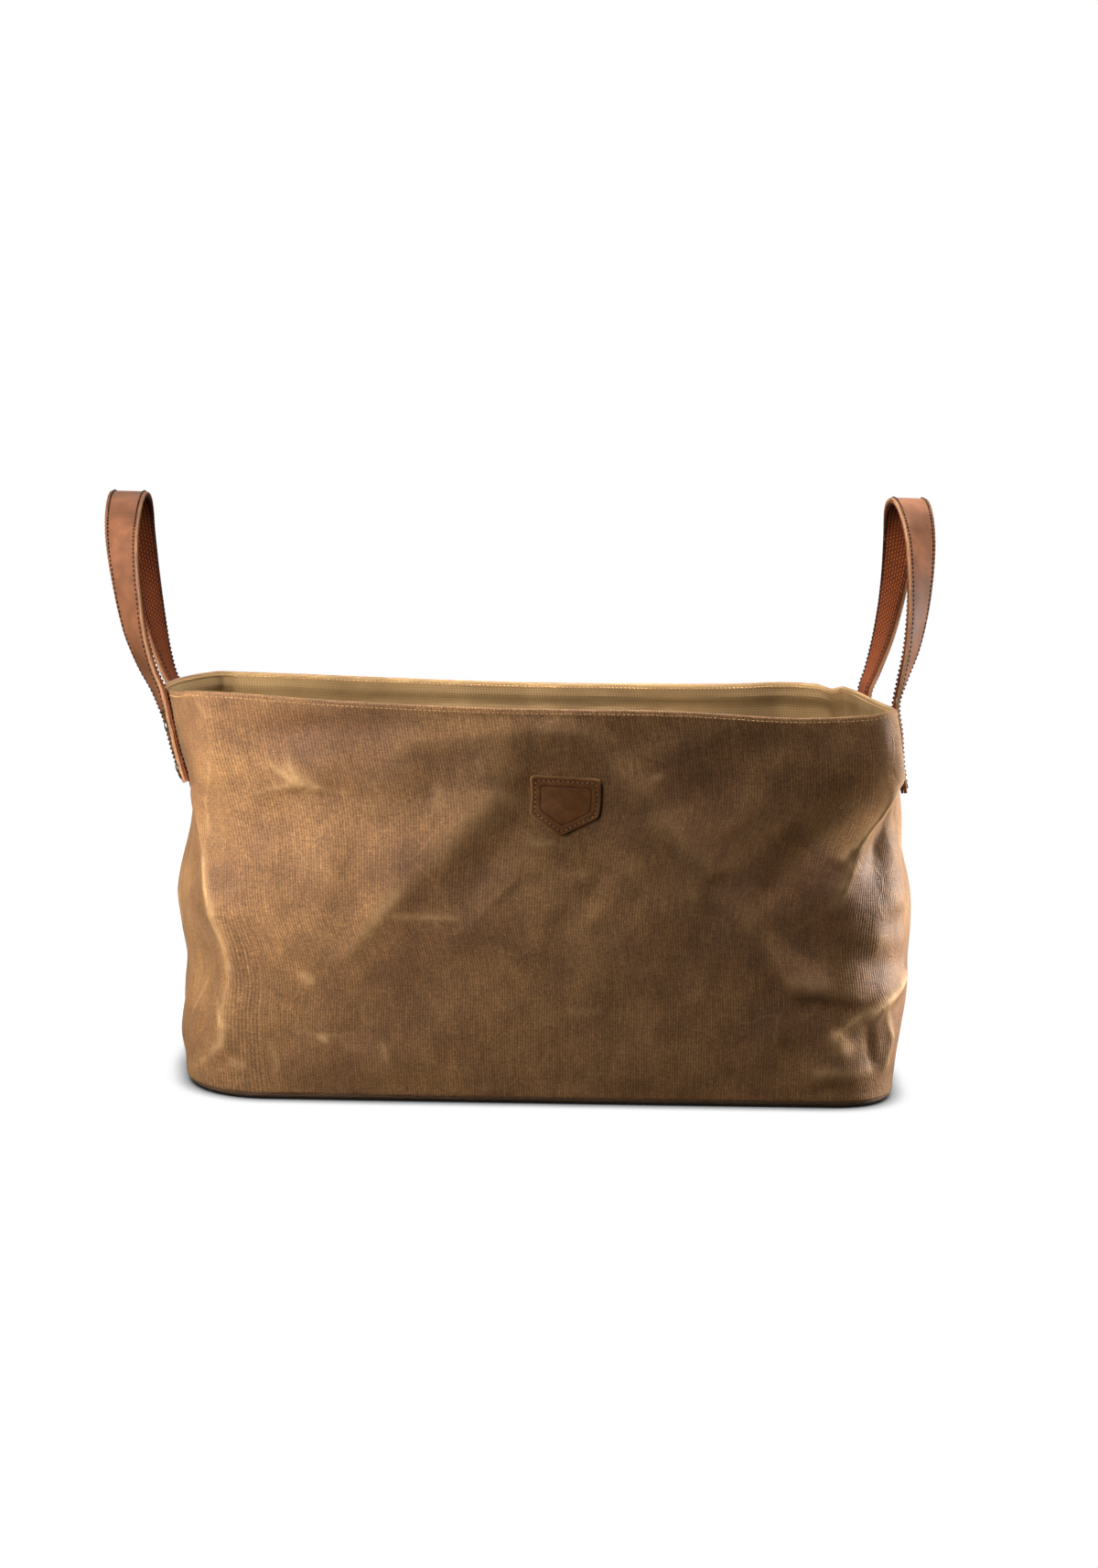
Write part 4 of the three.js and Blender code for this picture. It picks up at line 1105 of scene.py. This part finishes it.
flat_rings = [badge_ring(inset) for inset, _ in BADGE_FACE]
badge_rise = [out for _, out in BADGE_FACE]
last = flat_rings[-1]
for share in (0.9, 0.78, 0.64, 0.48, 0.3, 0.12):
    flat_rings.append(last * share)
    badge_rise.append(BADGE_FLAT + BADGE_CROWN * (1 - share))
rings = [on_badge(flat, out)[0] for flat, out in zip(flat_rings, badge_rise)]
on_badge_plan = np.array([np.stack([flat.real, flat.imag, 0 * flat.real], axis=-1) for flat in flat_rings])
insets = np.array([inset for inset, _ in BADGE_FACE] + [PAST_LINE] * (len(flat_rings) - len(BADGE_FACE)))
rises = np.array(badge_rise)
each = np.ones((1, last.size))
cut_edge = ((insets < 0.3) & (rises > 0) & (rises < CARVED))[:, None] * each
pressed_line = (insets > 6) & (rises < CARVED)
stitch_groove = np.abs(insets - BADGE_STITCH_INSET) < 0.5
pressed = (pressed_line + 0.9 * stitch_groove)[:, None] * each

# Oiled leather as on the loops, darker and browner, and pale at the cut edge. Its pressed line and stitch
# groove are darkened: burnished leather, and painted shade in these grooves.
badge_leather = material("oiled_badge_leather")
place = add(badge_leather, "Attribute", out="Vector", attribute_name="on_badge")
raw = add(badge_leather, "Attribute", out="Fac", attribute_name="cut_edge")
burnish_and_groove_shade = add(badge_leather, "Attribute", out="Fac", attribute_name="pressed")
pull = add(badge_leather, "TexNoise", {"Vector": place, "Scale": 0.12, "Detail": 6}, out="Fac")
rub = add(badge_leather, "TexNoise", {"Vector": place, "Scale": 0.4, "Detail": 5}, out="Fac")
grain = add(badge_leather, "TexVoronoi", {"Vector": place, "Scale": 0.9}, out="Distance")
tone = add(
    badge_leather, "Mix", {0: pull, 6: linear("#4e2d18"), 7: linear("#8d5a2e")}, out=2, data_type="RGBA"
)
rub_tone = add(badge_leather, "MapRange", {0: rub, 1: 0.3, 2: 0.7, 3: 0.85, 4: 1.15})
toned = add(badge_leather, "VectorMath", {0: tone, "Scale": rub_tone}, operation="SCALE")
# darkening in the pressed line and the stitch groove: burnish, and painted shade in the grooves
line_share = add(badge_leather, "Math", {0: burnish_and_groove_shade, 1: 0.75}, operation="MULTIPLY")
lined = add(
    badge_leather, "Mix", {0: line_share, 6: toned, 7: linear("#2c160d")}, out=2, data_type="RGBA"
)
edge_share = add(badge_leather, "Math", {0: raw, 1: 0.7}, operation="MULTIPLY")
badge_colour = add(
    badge_leather, "Mix", {0: edge_share, 6: lined, 7: linear("#b98a58")}, out=2, data_type="RGBA"
)
grain_bump = add(badge_leather, "Bump", {"Strength": 0.35, "Distance": 0.15 * MM, "Height": grain})
badge_bump = add(
    badge_leather, "Bump", {"Strength": 0.4, "Distance": 0.4 * MM, "Height": rub, "Normal": grain_bump}
)
surface = add(
    badge_leather,
    "BsdfPrincipled",
    {
        "Base Color": badge_colour,
        "Roughness": 0.55,
        "Normal": badge_bump,
        "IOR": 1.5,
        "Specular IOR Level": 0.25,
    },
)
add(badge_leather, "OutputMaterial", {"Surface": surface})

badge = stack(
    "leather_badge",
    rings,
    [badge_leather],
    paint={"on_badge": on_badge_plan, "cut_edge": cut_edge, "pressed": pressed},
)
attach(badge, "root")
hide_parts("front_badge")

flat = badge_ring(BADGE_STITCH_INSET)
places, outs = on_badge(np.append(flat, flat[0]), BADGE_STITCH_RISE)
badge_stitches = stitches("badge_stitches", [(places, outs)], tan_thread, length=2.2, radius=0.45)
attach(badge_stitches, "root")

# Floor: a plain white studio sweep. It takes no part in lighting the bag, and darkens only where the bag
# stands on it.
FLOOR_SIZE = 12.0  # m
floor_mesh = bpy.data.meshes.new("studio_floor")
half = FLOOR_SIZE / 2
floor_corners = [(-half, -half, 0), (half, -half, 0), (half, half, 0), (-half, half, 0)]
floor_mesh.from_pydata(floor_corners, [], [(0, 1, 2, 3)])
floor = bpy.data.objects.new("studio_floor", floor_mesh)
bpy.context.scene.collection.objects.link(floor)
# Background paper: plain white, with a thin shadow of about 17 mm round the foot of the bag.
paper = material("white_background_paper")
contact = add(paper, "AmbientOcclusion", {"Distance": 17 * MM}, out="AO", samples=8)
near_white = add(paper, "MapRange", {0: contact, 1: 0.25, 2: 0.92, 3: 0.01, 4: 1.0})
glow = add(paper, "Emission", {"Color": linear("#ffffff"), "Strength": near_white})
add(paper, "OutputMaterial", {"Surface": glow})
floor_mesh.materials.append(paper)
floor.visible_diffuse = False
floor.visible_glossy = False
floor.visible_shadow = False
floor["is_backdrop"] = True

# Studio: white all round for the camera alone. All light on the bag comes from the lamps.
world = bpy.data.worlds.new("white_studio")
bpy.context.scene.world = world
world.use_nodes = True
backdrop = world.node_tree.nodes["Background"].inputs
backdrop["Color"].default_value = linear("#ffffff")
backdrop["Strength"].default_value = 1.0
world.cycles_visibility.diffuse = False
world.cycles_visibility.glossy = False
bpy.context.scene.view_settings.view_transform = "Standard"

# Lights: three soft boxes on the left light the front and its left corner, two low ones on the right catch
# the right corner, two narrow ones light the loops and one the inside. Panels above, in front and behind,
# and a low one, fill the rest.
LIGHTS = (
    # name, place, looks at, size across and up in m, power in W, spread in degrees
    ("left_key", (-0.7, -0.8, 0.6), (-0.36, -0.145, 0.25), (0.3, 0.3), 0.9, 31),
    ("left_upper", (-0.8, -0.9, 0.4), (-0.3, -0.145, 0.29), (0.3, 0.3), 0.15, 28),
    ("left_side", (-1.0, -0.28, 0.3), (-0.3, -0.1, 0.06), (0.3, 0.3), 0.16, 38),
    ("right_side", (1.0, -0.11, 0.18), (0.27, -0.12, 0.15), (0.25, 0.25), 0.2, 40),
    ("right_rear", (1.0, 0.12, 0.3), (0.27, -0.1, 0.14), (0.25, 0.25), 1.15, 40),
    ("loop_light", (-1.2, -0.4, 0.75), (0.27, 0, 0.43), (0.2, 0.2), 0.3, 18),
    ("right_loop", (0.95, -0.55, 0.72), (0.285, -0.03, 0.365), (0.2, 0.2), 0.095, 12),
    ("inside_light", (0.05, -0.08, 1.5), (0.05, 0.12, 0.2), (0.5, 0.3), 3.5, 34),
    ("top_panel", (0, 0.4, 1.8), (0, 0, 0.2), (1.5, 1.5), 14, 180),
    ("front_fill", (-1.3, -2.2, 0.9), (0, 0, 0.2), (1.6, 1.6), 26, 180),
    ("low_fill", (0.05, -1.7, 0.2), (0.06, -0.15, -0.03), (0.4, 0.2), 0.05, 17),
    ("back_fill", (0, 2.6, 0.9), (0, 0, 0.2), (2.0, 2.0), 16, 180),
)
for name, place, target, size, power, spread in LIGHTS:
    lamp = bpy.data.lights.new(name, "AREA")
    lamp.shape = "RECTANGLE"
    lamp.size, lamp.size_y = size
    lamp.energy = power
    lamp.spread = math.radians(spread)
    held = bpy.data.objects.new(name, lamp)
    bpy.context.scene.collection.objects.link(held)
    held.visible_camera = False
    away = unit(np.array(place) - np.array(target))
    right = unit(np.cross((0, 0, 1), away))
    turn = np.stack([right, np.cross(away, right), away], axis=1)
    held.matrix_world = Matrix.Translation(place) @ Matrix(turn.tolist()).to_4x4()

# Camera: level with the loops' crowns, a little to the left of the bag and looking slightly down on it.
FRAME_LONG, FOCAL_PIXELS = 1714, 2727  # the image's long side, and the focal length, in pixels
CAMERA_PLACE = (-0.071, -1.945, 0.433)
yaw, pitch, roll = (math.radians(angle) for angle in (2.1, 6.2, 1.43))
forward = np.array([math.sin(yaw) * math.cos(pitch), math.cos(yaw) * math.cos(pitch), -math.sin(pitch)])
level_right = unit(np.cross(forward, (0, 0, 1)))
level_down = np.cross(forward, level_right)
image_right = level_right * math.cos(roll) - level_down * math.sin(roll)
image_down = level_right * math.sin(roll) + level_down * math.cos(roll)
lens = bpy.data.cameras.new("studio_camera")
lens.sensor_width = 36
lens.lens = FOCAL_PIXELS * lens.sensor_width / FRAME_LONG
camera = bpy.data.objects.new("studio_camera", lens)
bpy.context.scene.collection.objects.link(camera)
axes = np.stack([image_right, -image_down, -forward], axis=1)
camera.matrix_world = Matrix.Translation(CAMERA_PLACE) @ Matrix(axes.tolist()).to_4x4()
bpy.context.scene.camera = camera

boxes = {"cad": cad_box, "visual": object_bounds()}
{name: [list(corner) for corner in box] for name, box in boxes.items()}
